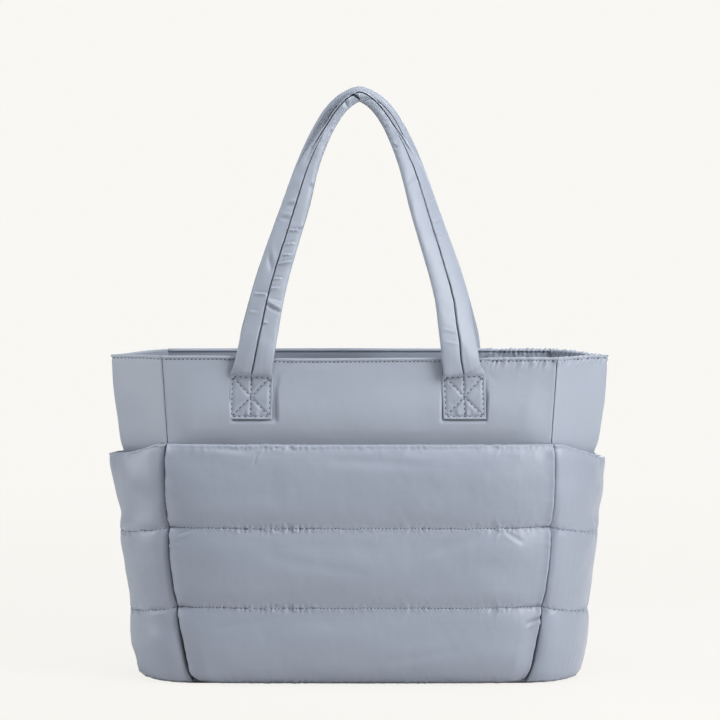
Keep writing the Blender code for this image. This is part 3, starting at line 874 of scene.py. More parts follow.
def pocket_narrowing(z, across):
    """Share of the panel's width that the front pocket has here: rounded lower corners, and a slot at
    its side seams that is wider on the left and at the top."""
    left = np.maximum(0.0, POCKET_CORNER - (z - QUILT_BOTTOM))
    inset = POCKET_CORNER - np.sqrt(np.maximum(0.0, POCKET_CORNER**2 - left**2))
    share = z / QUILT_TOP
    slot = np.where(across < 0, SLOT_LEFT * (0.45 + 0.55 * share), SLOT_RIGHT * (0.7 + 0.3 * share))
    wave = 0.6 * lumps(z, across * 0, 0.011, 1.0, 77) + 0.4 * lumps(z, across * 0, 0.0038, 1.0, 78)
    slot = slot + np.where(across < 0, 0.0009, 0.0003) * wave
    return 1 - (inset + slot * np.abs(across)) / body_at(z).panel


def front_pocket_surface(share, across):
    """The front pocket's outer face as the simulation starts with it."""
    z, inside, thickness = pocket_faces(share, across)
    return panel_surface(z, across * pocket_narrowing(z, across), inside + thickness, POCKET_BLEND)


def front_pocket():
    """The wide slip pocket, blown up between its seams."""
    half = POCKET_HALF
    across = columns(half, POCKET_STEP)
    up = channel_rows(QUILT_ZONE)
    share, u = np.meshgrid(up, across, indexing="ij")
    z, inside, thickness = pocket_faces(share, u)
    narrow = u * pocket_narrowing(z, u)
    x = narrow * body_at(z).panel
    edge_away = (1 - np.abs(u)) * half
    full = padded_crown(share) * edge_fill(edge_away)
    away = seam_distance(share, QUILT_ZONE)
    relief = quilted_shape(QUILT_ZONE, share, (x, z)) * smoothstep(edge_away / 0.02)
    relief = relief + creased(x, z, POCKET_CREASES) * np.minimum(1.0, full * 1.5)
    relief = relief + gathers(x, away, 61) * smoothstep(edge_away / 0.003)
    relief = relief + mouth_gathers(x, (1 - share) * QUILT_ZONE, 65)
    tucks = lumps(z, edge_away, 0.0042, 0.02, 71) * bell(edge_away, 0.006)
    relief = relief + 0.0007 * tucks * (away > 0.0005)
    z = z + seam_wander(x, away, 75) * inner_seams(share)
    relief = np.maximum(relief, -PRESSED_IN * thickness)
    outer = panel_surface(z, narrow, inside + thickness + relief, POCKET_BLEND)
    moved = quilted_cloth(up, across, front_pocket_surface, half, *FRONT_CUT)
    outer = outer + moved * smoothstep(edge_away / 0.012)[..., None]
    return Sheet(up, across, outer, panel_surface(z, narrow, inside, POCKET_BLEND))


def side_pocket_faces(share, across):
    """Height of a bottle pocket's wall, its inner offset from the gusset and its thickness."""
    row_sag = column(POCKET_FORM, "sag", share)
    z = quilt_height(share) - SIDE_SAG * row_sag * (1 - across**2)
    stand = SIDE_ROOM * column(POCKET_FORM, "side", share) * (1 - np.abs(across) ** SIDE_ROOM_SHAPE)
    solid = HEM + SIDE_PADDING * channel_crown(share) * side_fill(across, SIDE_EDGE_SHAPE)
    edge_away = (1 - np.abs(across)) * SIDE_HALF
    edge = edge_fill(edge_away, SIDE_EDGE_RADIUS)
    full = 0.75 + 0.25 * side_fill(across, SIDE_EDGE_SHAPE)
    thickness = HEM + SIDE_PADDING * padded_crown(share) * edge * full
    thickness = thickness + hem_bead(share, SIDE_BEAD)
    mouth = smoothstep((share - 0.86) / 0.14) * smoothstep((1 - np.abs(across)) / 0.15)
    z = z + mouth * (0.0022 * lumps(across, across * 0, 0.30, 1.0, 87) + 0.0030)
    return z, eased(stand - solid / 2 - POCKET_GAP, edge_away, share), thickness


def side_pocket_surface(share, across):
    """A bottle pocket's outer face as the simulation starts with it."""
    z, inside, thickness = side_pocket_faces(share, across)
    return gusset_surface(z, across, inside + thickness, SIDE_BLEND)


def side_pocket(seed, hang):
    """A bottle pocket. hang: how much lower the middle of its mouth is."""
    half = SIDE_HALF
    across = columns(half, POCKET_STEP)
    up = channel_rows(QUILT_ZONE)
    share, t = np.meshgrid(up, across, indexing="ij")
    z, inside, thickness = side_pocket_faces(share, t)
    mouth = bell(t, 0.3) * smoothstep((share - 0.8) / 0.2)
    z = z - hang * mouth
    inside = np.maximum(POCKET_GAP, inside - 0.6 * hang * mouth)
    away = seam_distance(share, QUILT_ZONE)
    along, edge_away = t * half, (1 - np.abs(t)) * half
    still = smoothstep(away / 0.015) * smoothstep(edge_away / 0.015)
    relief = still * uneven(along, z, seed, ((0.0010, 0.040, 0.024), (0.0005, 0.016, 0.012)))
    relief = relief + gathers(along * 0.62, away, seed + 2, 0.0034) * smoothstep(edge_away / 0.003)
    relief = relief + mouth_gathers(along, (1 - share) * QUILT_ZONE, seed + 4)
    z = z + seam_wander(along, away, seed + 11) * inner_seams(share)
    relief = np.maximum(relief, -PRESSED_IN * thickness)
    outer = gusset_surface(z, t, inside + thickness + relief, SIDE_BLEND)
    moved = quilted_cloth(up, across, side_pocket_surface, half, *SIDE_CUT)
    outer = outer + moved * smoothstep(edge_away / 0.02)[..., None]
    return Sheet(up, across, outer, gusset_surface(z, t, inside, SIDE_BLEND))


def back_panel_surface(share, across):
    """The back wall's outer face as the simulation starts with it."""
    z = quilt_height(share, WALL_FOOT)
    puff = BACK_PADDING * channel_crown(share) * side_fill(across, EDGE_SHAPE)
    surface = panel_surface(z, across, puff)
    surface[..., 2] += rim_rise(z, 1.0)
    return surface


def back_panel():
    """The back wall: quilted below, plain above, with its rim drawn into small folds at the right."""
    half = BACK_HALF
    across = columns(half, fine_until=-0.115)
    zone = QUILT_TOP - WALL_FOOT
    quilted = channel_rows(zone)
    plain = even_rows(QUILT_TOP, BODY_HEIGHT - RIM_ZONE)[1:]
    heights = np.concatenate([quilt_height(quilted, WALL_FOOT), plain, rim_rows()[1:]])
    z, u = np.meshgrid(heights, across, indexing="ij")
    share = np.clip((z - WALL_FOOT) / zone, 0.0, 1.0)
    x = u * body_at(z).panel
    lower = z < QUILT_TOP
    away = seam_distance(share, zone)
    middle = smoothstep((1 - np.abs(u)) * half / 0.02)
    puff = np.where(lower, BACK_PADDING * channel_crown(share) * side_fill(u, EDGE_SHAPE), 0.0)
    relief = np.where(lower, quilted_shape(zone, share, (-x, z)) + gathers(-x, away, 81), 0.0)
    above = wall_edges(z, QUILT_TOP, BODY_HEIGHT)
    relief = relief * middle + plain_relief(x, z, 31) * middle * above
    relief = relief + hem_relief(-x, z, 23)
    outer = panel_surface(z, u, puff + relief + seam_turn(u, half))
    moved = quilted_cloth(quilted, across, back_panel_surface, half, *BACK_CUT)
    outer[: len(quilted)] += moved
    inside = hem_relief(-x, z, 27) + 0.0005 * lumps(x, z, 0.05, 0.02, 28) * middle
    inside = inside + rim_teeth(-x, z, 29)
    inner = panel_surface(z, u, -WALL - np.maximum(inside, -INSIDE_DIP))
    return Sheet(heights, across, outer, inner).raised(rim_rise(z, 1.0)).turned()


def gusset(seed, drawn):
    """An end wall. drawn: whether its rim is gathered."""
    half = GUSSET_HALF
    across = columns(half, RIM_STEP)
    up = plain_rows(QUILT_TOP - 0.04)
    z, t = np.meshgrid(up, across, indexing="ij")
    along = t * half
    middle = smoothstep((1 - np.abs(t)) * half / 0.02)
    relief = plain_relief(along, z, seed) * middle * wall_edges(z, WALL_FOOT, BODY_HEIGHT)
    place = along * 0.7 + (0.25 if drawn else 0.0)
    relief = relief + hem_relief(place, z, seed + 7) + seam_turn(t, half)
    outer = gusset_surface(z, t, relief)
    teeth = rim_teeth(place, z, seed + 9) * smoothstep(t / 0.1)
    inner = gusset_surface(z, t, -WALL - np.maximum(teeth, -INSIDE_DIP))
    return Sheet(up, across, outer, inner).raised(rim_rise(z, t))


def base_panel():
    """The flat bottom, with a turned seam round its lower edge and slightly full cloth on top."""
    u = np.linspace(-1, 1, 90)
    t = np.linspace(-1, 1, 40)
    # height, and how far out from the walls
    levels = (
        (BASE_THICKNESS, -0.012),
        (BASE_THICKNESS, -0.0006),
        (BASE_THICKNESS * 0.85, -0.0001),
        (BASE_THICKNESS * 0.6, -0.0004),
        (BASE_THICKNESS * 0.35, -BASE_EDGE * 0.3),
        (BASE_THICKNESS * 0.12, -BASE_EDGE * 0.6),
        (0.0, -BASE_EDGE),
        (0.0, -BASE_EDGE - 0.003),
        (0.0003, -BASE_EDGE - 0.004),
        (0.0, -BASE_EDGE - 0.005),
    )
    rings = []
    for height, offset in levels:
        front = panel_surface(WALL_FOOT, u, offset)
        right = gusset_surface(WALL_FOOT, t, offset)
        half = np.concatenate([front, right])
        half[:, 2] = height
        rings.append(np.concatenate([half, half * HALF_TURN]))
    count = len(rings[0])
    shrink = np.array([0.6, 0.6, 1.0])
    rings = [rings[0] * shrink] + rings + [rings[-1] * shrink]
    points = np.concatenate(rings + [[[0, 0, BASE_THICKNESS]], [[0, 0, 0]]])
    faces = []
    for ring in range(len(rings) - 1):
        a = ring * count + np.arange(count)
        b = a + count
        faces += np.stack([np.roll(b, -1), np.roll(a, -1), a, b], -1).tolist()
    last = (len(rings) - 1) * count
    for i in range(count):
        j = (i + 1) % count
        faces.append([len(rings) * count, i, j])
        faces.append([len(rings) * count + 1, last + j, last + i])
    return mesh_object("base", points, faces, points[:, :2])


# Handles

# A crease across a strap. leg: -1 left, 1 right, as seen from outside. up: distance above the sewn end, in
# metres. side: place across, from -1 to 1. slope: how far it rises from edge to edge, in metres.
# span: half its length across. width, depth: of the groove, or of a raised fold where the depth is negative.
# ridge: height beside it, as a share of the depth.
StrapCrease = namedtuple("StrapCrease", "leg up side slope span width depth ridge")
STRAP_CREASES = (
    StrapCrease(-1, 0.153, 0.57, 0.0095, 0.40, 0.0011, -0.0026, 0.4),
    StrapCrease(-1, 0.138, 0.41, 0.0120, 0.32, 0.0010, -0.0022, 0.4),
    StrapCrease(-1, 0.127, 0.53, 0.0110, 0.28, 0.0010, -0.0022, 0.4),
    StrapCrease(-1, 0.119, 0.60, 0.0160, 0.50, 0.0012, -0.0028, 0.4),
    StrapCrease(-1, 0.100, 0.28, 0.0110, 0.24, 0.0010, -0.0020, 0.4),
    StrapCrease(-1, 0.090, 0.24, 0.0130, 0.26, 0.0010, -0.0020, 0.4),
    StrapCrease(-1, 0.077, 0.47, 0.0000, 0.42, 0.0012, -0.0010, 0.4),
    StrapCrease(-1, 0.070, 0.50, -0.0085, 0.46, 0.0018, 0.0024, 0.9),
    StrapCrease(-1, 0.081, -0.57, 0.0020, 0.44, 0.0011, -0.0022, 0.4),
    StrapCrease(-1, 0.062, -0.75, 0.0000, 0.32, 0.0013, -0.0010, 0.4),
    StrapCrease(-1, 0.115, -0.47, -0.0440, 0.26, 0.0050, 0.0014, 0.6),
    StrapCrease(-1, 0.162, -0.42, 0.0050, 0.32, 0.0020, 0.0009, 1.0),
    StrapCrease(-1, 0.176, -0.30, 0.0080, 0.30, 0.0024, 0.0008, 1.0),
    StrapCrease(-1, 0.052, 0.14, 0.0050, 0.14, 0.0011, 0.0012, 1.0),
    StrapCrease(-1, 0.156, 0.96, 0.0050, 0.22, 0.0016, 0.0026, 0.5),
    StrapCrease(-1, 0.201, 0.98, 0.0050, 0.26, 0.0018, 0.0026, 0.6),
    StrapCrease(-1, 0.262, 0.98, 0.0040, 0.30, 0.0018, 0.0026, 0.6),
    StrapCrease(-1, 0.3085, 0.20, 0.0100, 1.30, 0.0016, 0.0036, 0.8),
    StrapCrease(-1, 0.2960, -0.20, -0.0060, 0.80, 0.0022, 0.0020, 0.7),
    StrapCrease(1, 0.3020, 0.10, 0.0120, 0.90, 0.0022, 0.0022, 0.7),
    StrapCrease(1, 0.102, -0.74, -0.0130, 0.30, 0.0012, -0.0018, 0.4),
    StrapCrease(1, 0.046, 0.45, 0.0140, 0.40, 0.0013, -0.0010, 0.4),
    StrapCrease(1, 0.034, 0.50, 0.0140, 0.30, 0.0012, -0.0009, 0.4),
    StrapCrease(1, 0.146, -0.40, -0.0050, 0.34, 0.0014, -0.0009, 0.4),
    StrapCrease(1, 0.160, -0.50, -0.0070, 0.40, 0.0014, -0.0011, 0.4),
    StrapCrease(1, 0.181, -0.80, -0.0090, 0.30, 0.0012, -0.0016, 0.4),
    StrapCrease(1, 0.205, 0.45, -0.0180, 0.34, 0.0013, -0.0012, 0.4),
    StrapCrease(1, 0.244, 0.98, 0.0040, 0.28, 0.0018, 0.0026, 0.6),
    StrapCrease(1, 0.268, 0.98, 0.0040, 0.28, 0.0018, 0.0026, 0.6),
)
# How far the front handle's ends hang aside from their plain places: (height, left leg, right leg)
STRAP_SHIFT = (
    (0.263, -0.0042, 0.0004), (0.308, -0.0030, -0.0012), (0.322, -0.0010, -0.0032),
    (0.335, 0.0, -0.0030), (0.352, 0.0, -0.0020), (0.380, 0.0, 0.0), (0.600, 0.0, 0.0),
)
LEFT_TURN = -0.12          # the front handle's left leg faces the viewer, turned this share of its plain turn
RIGHT_TURN = 14.0          # degrees more that its right leg is turned just above its sewn end
FOLD_FROM = 0.505          # above this height the front handle is folded, and its middle seam is hidden
FOLD_SHARE = 0.50          # share of its outer half that is folded away
FOLD_PLACE = 0.45          # where the fold lies, as a share of that half
FOLD_WIDTH = 0.0010        # half width of the line it makes
STRAP_STEP = 0.0013        # between rows of points along the front strap
BACK_STRAP_STEP = 0.0024   # the same on the back strap
PATCH_STEP = 0.0009        # the same on its sewn ends
STRAP_ROUND = 41           # points across each face of a strap, an odd number
STRAP_MIDDLE = 0.30        # share of them that is drawn in towards the middle seam
STRAP_GROOVE = (0.0005, 0.0024)  # half width and depth of the groove along the middle seam
UNDERSIDE_GROOVE = 0.3     # share of its depth on a strap's underside
UNDERSIDE_RELIEF = 0.6     # share of the creases' depth there


def strap_places():
    """Places across a strap's face, from -1 to 1: close together at its edges and at its middle seam."""
    share = np.linspace(-1, 1, STRAP_ROUND)
    drawn = np.sign(share) * np.abs(share) ** (1 / (1 - STRAP_MIDDLE))
    return np.sin(np.radians(90) * drawn)


def leg_stations(which):
    """Middle, facing, twist, width, thickness and seam share at the CAD's own rings, for the +X leg."""
    stations = []
    for z in (PATCH_BOTTOM, (PATCH_BOTTOM + PATCH_TOP) / 2, PATCH_TOP):
        form = body_at(np.array([z]))
        across = HANDLE_SPACING / 2 / form.panel
        middle = panel_surface(np.array([z]), across, PATCH_GAP + PATCH_THICKNESS / 2)[0]
        slope = float((2 * form.bow * across / form.panel)[0])
        normal = unit(np.array([slope, -1.0, 0.0]))
        width = STRAP_WIDTH * PATCH_WIDTH_SHARE
        stations.append([*middle, *normal, 0.0, width, PATCH_THICKNESS, PATCH_SEAM_SHARE])
    start = stations[-1]
    meet = -(STRAP_THICKNESS * HANDLE_PEAK.thick / 2 + HANDLE_CLEARANCE)
    for row in HANDLE_LEG + (HANDLE_PEAK,):
        x = getattr(row, which) * HANDLE_SPACING / 2
        y = start[1] + (meet - start[1]) * row.lean
        z = PATCH_TOP + (HANDLE_TOP - PATCH_TOP) * row.height
        size = (STRAP_WIDTH * row.width, STRAP_THICKNESS * row.thick)
        stations.append([x, y, z, 0.0, -1.0, 0.0, row.twist, *size, STRAP_SEAM_SHARE])
    return np.array(stations)


def handle_stations(which):
    """The same for a whole handle, from its -X end over its peak to its +X end."""
    leg = leg_stations(which)
    left = leg[:-1] * np.array([-1, 1, 1, -1, 1, 1, 1, 1, 1, 1.0])
    right = leg[:-1][::-1].copy()
    right[:, 6] *= -1
    if which == "front":
        left[:, 7] *= np.cos(np.radians(left[:, 6]))
        left[:, 6] *= LEFT_TURN
        near_end = bell(right[:, 2] - PATCH_TOP, 0.05)
        right[:, 6] -= RIGHT_TURN * near_end * (right[:, 8] > 0.004)
    return np.concatenate([left, leg[-1:], right])


def strap_relief(leg, up, side, seed):
    """Creases, gathers and unevenness on one face of a strap. up: along it from the sewn end."""
    relief = uneven(up, side * 0.02, seed, ((0.0006, 0.022, 0.014), (0.0003, 0.009, 0.016)))
    away = np.abs(side) * STRAP_WIDTH / 2
    relief = relief + 0.0004 * lumps(up, away, 0.0055, 0.008, seed + 2) * bell(away, 0.004)
    edge = (1 - np.abs(side)) * STRAP_WIDTH / 2
    relief = relief + 0.0009 * lumps(up, edge, 0.0062, 0.012, seed + 3) * bell(edge, 0.0035)
    near_end = bell(up, 0.022) * (up > 0)
    relief = relief + 0.0008 * near_end * lumps(side, up, 0.12, 0.05, seed + 4)
    for row in STRAP_CREASES:
        line = row.up + row.slope * (side - row.side) / 2
        aside = up - line
        ends = np.exp(-(((side - row.side) / row.span) ** 4))
        groove = -bell(aside, row.width)
        ridge = row.ridge * bell(aside - 1.8 * row.width, row.width)
        relief = relief + (leg == row.leg) * row.depth * ends * (groove + ridge)
    return relief


def patch_relief(up, side):
    """Dips along the lines of a sewn end: a box, a cross and a line down the middle, with gathers below."""
    x = side * STRAP_WIDTH * PATCH_WIDTH_SHARE / 2
    y = up + PATCH_HEIGHT / 2
    half = STRAP_WIDTH * PATCH_WIDTH_SHARE / 2 - PATCH_INSET
    tall = PATCH_HEIGHT / 2 - PATCH_INSET
    slant = math.hypot(half, tall)
    lines = [np.abs(x * tall - y * half) / slant, np.abs(x * tall + y * half) / slant, np.abs(x)]
    box = np.abs(np.maximum(np.abs(x) / half, np.abs(y) / tall) - 1) * half
    away = np.minimum.reduce(lines + [box])
    inside = (np.abs(x) < half + 0.001) & (np.abs(y) < tall + 0.001)
    dip = -0.0019 * bell(away, 0.0011) * inside
    foot = bell(y + tall - 0.002, 0.004)
    return dip + 0.0014 * foot * lumps(x, y, 0.0016, 0.02, 91) + 0.0004 * lumps(x, y, 0.005, 0.005, 92)


class Strap:
    """A handle: its middle line and its skin, from the -X end to the +X end."""

    def __init__(self, which, seed):
        stations = handle_stations(which)
        gaps = np.linalg.norm(np.diff(stations[:, :3], axis=0), axis=1)
        length = np.concatenate([[0], np.cumsum(gaps)])
        self.length = length[-1]
        ends = even_rows(0, PATCH_HEIGHT + 0.006, PATCH_STEP)
        step = STRAP_STEP if which == "front" else BACK_STRAP_STEP
        free = even_rows(ends[-1], self.length - ends[-1], step)[1:-1]
        self.along = np.concatenate([ends, free, self.length - ends[::-1]])
        middle = spline_resample(stations[:, :3], length, self.along)
        facing = unit(spline_resample(stations[:, 3:6], length, self.along))
        twist = np.radians(smooth_curve(length, stations[:, 6], self.along))
        width = smooth_curve(length, stations[:, 7], self.along)
        thick = smooth_curve(length, stations[:, 8], self.along)
        seam = smooth_curve(length, stations[:, 9], self.along)
        folded = np.zeros(len(self.along))
        if which == "front":
            folded = smoothstep((middle[:, 2] - FOLD_FROM) / 0.05)
            seam = seam + (1 - seam) * folded
        tangent = unit(np.gradient(middle, self.along, axis=0))
        facing = unit(facing - tangent * np.sum(facing * tangent, 1, keepdims=True))
        aside = np.cross(tangent, facing)
        self.facing = facing * np.cos(twist)[:, None] + aside * np.sin(twist)[:, None]
        aside = np.cross(tangent, self.facing)
        v = strap_places()
        self.v = np.concatenate([v, v[-2:0:-1]])
        front = np.concatenate([np.ones(len(v)), -np.ones(len(v) - 2)])
        full = np.maximum(0.0, 1 - self.v**2) ** STRAP_EDGE_SHAPE
        pinch = 1 - (1 - seam[:, None]) * bell(self.v, STRAP_SEAM_SPREAD)
        depth = thick[:, None] / 2 * full * pinch
        from_left, from_right = self.along - PATCH_HEIGHT, self.length - PATCH_HEIGHT - self.along
        leg = np.where(from_left < from_right, -1, 1)[:, None]
        up = np.minimum(from_left, from_right)[:, None]
        relief = self.creases(leg, up, front, seed) * full
        half, groove = STRAP_GROOVE
        line = bell(self.v * STRAP_WIDTH / 2, half) * smoothstep(up / 0.004)
        fold = bell((self.v + FOLD_PLACE) * width[:, None] / 2, FOLD_WIDTH) * folded[:, None]
        line = line * (1 - folded[:, None]) + 1.5 * fold * (front > 0)
        groove = groove * np.where(front > 0, 1.0, UNDERSIDE_GROOVE)
        relief = relief - groove * line * np.minimum(1.0, depth / 0.002)
        depth = np.maximum(depth + relief, 0.15 * depth)
        across = self.v * np.where(self.v < 0, 1 - FOLD_SHARE * folded[:, None], 1.0)
        self.skin = (
            middle[:, None]
            + aside[:, None] * (across * width[:, None] / 2)[..., None]
            + self.facing[:, None] * (front * depth)[..., None]
        )
        if which == "front":
            self.skin[..., 0] += self.shift()

    def creases(self, leg, up, front, seed):
        """Relief of the skin, leaving out its middle seam and fold. front: 1 on the face, -1 beneath."""
        shape = len(self.along), len(self.v)
        up, side = np.broadcast_to(up, shape), np.broadcast_to(self.v, shape)
        loose = strap_relief(leg * np.where(front > 0, 1, 3), up, side, seed)
        loose = loose * smoothstep(up / 0.006)
        sewn = patch_relief(up, side) * (up < 0.001)
        return np.where(front > 0, loose + sewn, loose * UNDERSIDE_RELIEF)

    def shift(self):
        """How far aside the front handle's ends hang."""
        heights, left, right = np.array(STRAP_SHIFT).T
        x, z = self.skin[..., 0], self.skin[..., 2]
        return np.where(x < 0, np.interp(z, heights, left), np.interp(z, heights, right))

    def turned(self):
        """The same strap on the other face of the bag."""
        self.skin *= HALF_TURN
        self.facing *= HALF_TURN
        return self

    def at(self, along, side):
        """Points and outward normals of the front face at these places along and across."""
        i, s = cell(along, self.along)
        j, t = cell(side, self.v[:STRAP_ROUND])
        low = self.skin[i, j] * (1 - t) + self.skin[i, j + 1] * t
        high = self.skin[i + 1, j] * (1 - t) + self.skin[i + 1, j + 1] * t
        return low * (1 - s) + high * s, self.facing[i]

    def build(self, name):
        rows, around = self.skin.shape[:2]
        points = self.skin.reshape(-1, 3)
        first = np.arange(rows - 1)[:, None] * around + np.arange(around)
        after = np.arange(rows - 1)[:, None] * around + (np.arange(around) + 1) % around
        faces = np.stack([first, after, after + around, first + around], -1).reshape(-1, 4).tolist()
        faces.append(list(range(around - 1, -1, -1)))
        faces.append(list(range((rows - 1) * around, rows * around)))
        uvs = np.stack(np.broadcast_arrays(self.v * STRAP_WIDTH / 2, self.along[:, None]), -1)
        obj = mesh_object(name, points, faces, uvs.reshape(-1, 2))
        obj.data.set_sharp_from_angle(angle=math.radians(70))
        return obj


# Stitches


def stitch_shape():
    """One stitch, 1 long and 1 wide, lying along its first axis: points and faces."""
    sides = 6
    points = [(-0.5, 0.0, 0.0)]
    for along, size in ((-0.36, 0.36), (0.0, 0.5), (0.36, 0.36)):
        for k in range(sides):
            turn = 2 * math.pi * k / sides
            points.append((along, size * math.cos(turn), size * math.sin(turn)))
    points.append((0.5, 0.0, 0.0))
    faces = []
    last = len(points) - 1
    for k in range(sides):
        m = (k + 1) % sides
        faces.append((0, 1 + m, 1 + k))
        faces.append((last, last - sides + k, last - sides + m))
        for ring in (1, 1 + sides):
            faces.append((ring + k, ring + m, ring + sides + m))
            faces.append((ring + k, ring + sides + m, ring + sides + k))
    return np.array(points), np.array(faces)


def stitches(name, runs, length=STITCH_LENGTH, width=STITCH_WIDTH):
    """Stitches as one mesh. runs: (points, outward normals) along each line, a stitch to a point."""
    shape, faces = stitch_shape()
    points, indices, count = [], [], 0
    for middle, normal in runs:
        along = unit(np.gradient(middle, axis=0))
        out = unit(normal - along * np.sum(normal * along, 1, keepdims=True))
        aside = np.cross(along, out)
        placed = (
            middle[:, None]
            + along[:, None] * shape[:, 0, None] * length
            + aside[:, None] * shape[:, 1, None] * width
            + out[:, None] * shape[:, 2, None] * width
        )
        points.append(placed.reshape(-1, 3))
        start = count + np.arange(len(middle))[:, None, None] * len(shape)
        indices.append((faces + start).reshape(-1, 3))
        count += len(middle) * len(shape)
    return mesh_object(name, np.concatenate(points), np.concatenate(indices).tolist())


def holes(runs):
    """Places for the dark marks of painted shade in the needle's holes, half way between the stitches of each
    run.
    """
    return [((p[1:] + p[:-1]) / 2, n[1:]) for p, n in runs]


def spaced(line, pitch):
    """Parameters of a line (points by row) at an even pitch along it."""
    gaps = np.linalg.norm(np.diff(line, axis=0), axis=1)
    length = np.concatenate([[0], np.cumsum(gaps)])
    count = max(2, int(length[-1] / pitch))
    return np.interp(np.linspace(0, length[-1], count), length, np.arange(len(line)))


def sewn_line(piece, start, end, pitch, sink=0.0):
    """Stitches on the face of a sheet or strap, straight from one (up, across) place to another.
    sink: how deep they lie."""

    def on_line(share):
        return piece.at(start[0] + (end[0] - start[0]) * share, start[1] + (end[1] - start[1]) * share)

    line = on_line(np.linspace(0, 1, LINE_POINTS))[0]
    point, normal = on_line(spaced(line, pitch) / (LINE_POINTS - 1))
    return point - normal * sink, normal


def seam_line(sheet, up, edge, pitch, sink=0.0):
    """Stitches across a sheet at one height, out to this share of its half width."""
    return sewn_line(sheet, (up, -edge), (up, edge), pitch, sink)


def patch_lines(strap):
    """The crossed box on both sewn ends of a strap."""
    inset = 1 - PATCH_INSET / (STRAP_WIDTH * PATCH_WIDTH_SHARE / 2)
    runs = []
    for low, high in ((0.0, PATCH_HEIGHT), (strap.length, strap.length - PATCH_HEIGHT)):
        step = PATCH_INSET if high > low else -PATCH_INSET
        a, b = low + step, high - step
        corners = [(a, -inset), (b, -inset), (b, inset), (a, inset)]
        for start, end in zip(corners, corners[1:] + corners[:1]):
            runs.append(sewn_line(strap, start, end, PATCH_PITCH))
        runs.append(sewn_line(strap, corners[0], corners[2], PATCH_PITCH))
        runs.append(sewn_line(strap, corners[1], corners[3], PATCH_PITCH))
        runs.append(sewn_line(strap, (a, 0.0), (b, 0.0), PATCH_PITCH))
    return runs


# Materials


def feed(tree, node, inputs):
    """Sets a node's sockets, each to a value or to the output that feeds it."""
    for socket, value in inputs.items():
        if isinstance(value, bpy.types.NodeSocket):
            tree.links.new(value, node.inputs[socket])
        else:
            node.inputs[socket].default_value = value


def add(tree, kind, inputs=None, **settings):
    """A new node with its settings and sockets."""
    node = tree.nodes.new(kind)
    for setting, value in settings.items():
        setattr(node, setting, value)
    feed(tree, node, inputs or {})
    return node


def colour_mix(tree, share, low, high):
    """The output of a mix from one colour to another."""
    inputs = {"Factor": share, "A": low, "B": high}
    return add(tree, "ShaderNodeMix", inputs, data_type="RGBA").outputs["Result"]


def shader_mix(tree, share, low, high):
    """The output of a mix from one shader to another."""
    return add(tree, "ShaderNodeMixShader", {0: share, 1: low, 2: high}).outputs["Shader"]


def tint(colour, share):
    return (*[c * share for c in colour], 1.0)


def new_material(name):
    """A material, its node tree and its main shader."""
    material = bpy.data.materials.new(name)
    material.use_nodes = True
    return material, material.node_tree, material.node_tree.nodes["Principled BSDF"]


def nylon(name, colour, roughness, slow=1.0):
    """Satin nylon: a fine weave, faint creases, slight changes of tone, and painted shade that darkens it in
    crevices.
    """
    material, tree, shader = new_material(name)
    place = add(tree, "ShaderNodeTexCoord").outputs["Object"]
    cells = add(tree, "ShaderNodeUVMap", uv_map="metres").outputs["UV"]
    tone = add(tree, "ShaderNodeTexNoise", {"Vector": place, "Scale": 14.0, "Detail": 3.0})
    cloth = colour_mix(tree, tone.outputs["Fac"], tint(colour, 0.97), tint(colour, 1.03))
    # painted shade: ambient occlusion darkens the base colour where the cloth lies in a crevice
    crevice_shade = add(tree, "ShaderNodeAmbientOcclusion", {"Distance": CREVICE_SHADE_REACH}, samples=8)
    openness = {"Value": crevice_shade.outputs["AO"], "From Min": 0.12, "From Max": 0.62}
    unshaded_share = add(tree, "ShaderNodeMapRange", openness).outputs["Result"]
    waves = {}
    for number, turn in enumerate(("X", "Y")):
        wave = add(tree, "ShaderNodeTexWave", {"Vector": cells, "Scale": 320.0}, bands_direction=turn)
        waves[number] = wave.outputs["Fac"]
    weave = add(tree, "ShaderNodeMath", waves, operation="MULTIPLY").outputs["Value"]
    fine = add(tree, "ShaderNodeBump", {"Height": weave, "Strength": 0.06, "Distance": 0.0001})
    noise = {"Vector": place, "Scale": 55.0, "Detail": 4.0, "Roughness": 0.45}
    creases = add(tree, "ShaderNodeTexNoise", noise).outputs["Fac"]
    coarse = {
        "Height": creases,
        "Normal": fine.outputs["Normal"],
        "Strength": 0.35,
        "Distance": 0.0011 * slow,
    }
    surface = {
        # painted shade mixed into the colour where ambient occlusion finds a crevice
        "Base Color": colour_mix(tree, unshaded_share, tint(colour, CREVICE_SHADE_TONE), cloth),
        "Normal": add(tree, "ShaderNodeBump", coarse).outputs["Normal"],
        "Roughness": roughness,
        "Sheen Weight": 0.35,
        "Sheen Roughness": 0.45,
        "Sheen Tint": (0.86, 0.91, 1.0, 1.0),
        "Specular IOR Level": 0.55,
    }
    feed(tree, shader, surface)
    return material


def thread(name, colour):
    """Matt thread, with plies that change its tone."""
    material, tree, shader = new_material(name)
    place = add(tree, "ShaderNodeTexCoord").outputs["Object"]
    ply = add(tree, "ShaderNodeTexNoise", {"Vector": place, "Scale": 900.0}).outputs["Fac"]
    colours = colour_mix(tree, ply, tint(colour, 0.85), tint(colour, 1.15))
    feed(tree, shader, {"Base Color": colours, "Roughness": 0.6})
    return material


# Light, floor and camera


def aim(obj, target):
    obj.rotation_euler = (Vector(target) - obj.location).to_track_quat("-Z", "Y").to_euler()


def lights():
    """Soft rectangular lights, each aimed at a height on the bag's middle line."""
    for row in LIGHTS:
        light = bpy.data.lights.new(row.name, "AREA")
        light.shape = "RECTANGLE"
        light.size, light.size_y = row.size
        light.energy = row.power
        light.color = row.colour
        obj = bpy.data.objects.new(row.name, light)
        obj.location = row.place
        bpy.context.scene.collection.objects.link(obj)
        aim(obj, (0, 0, row.height))


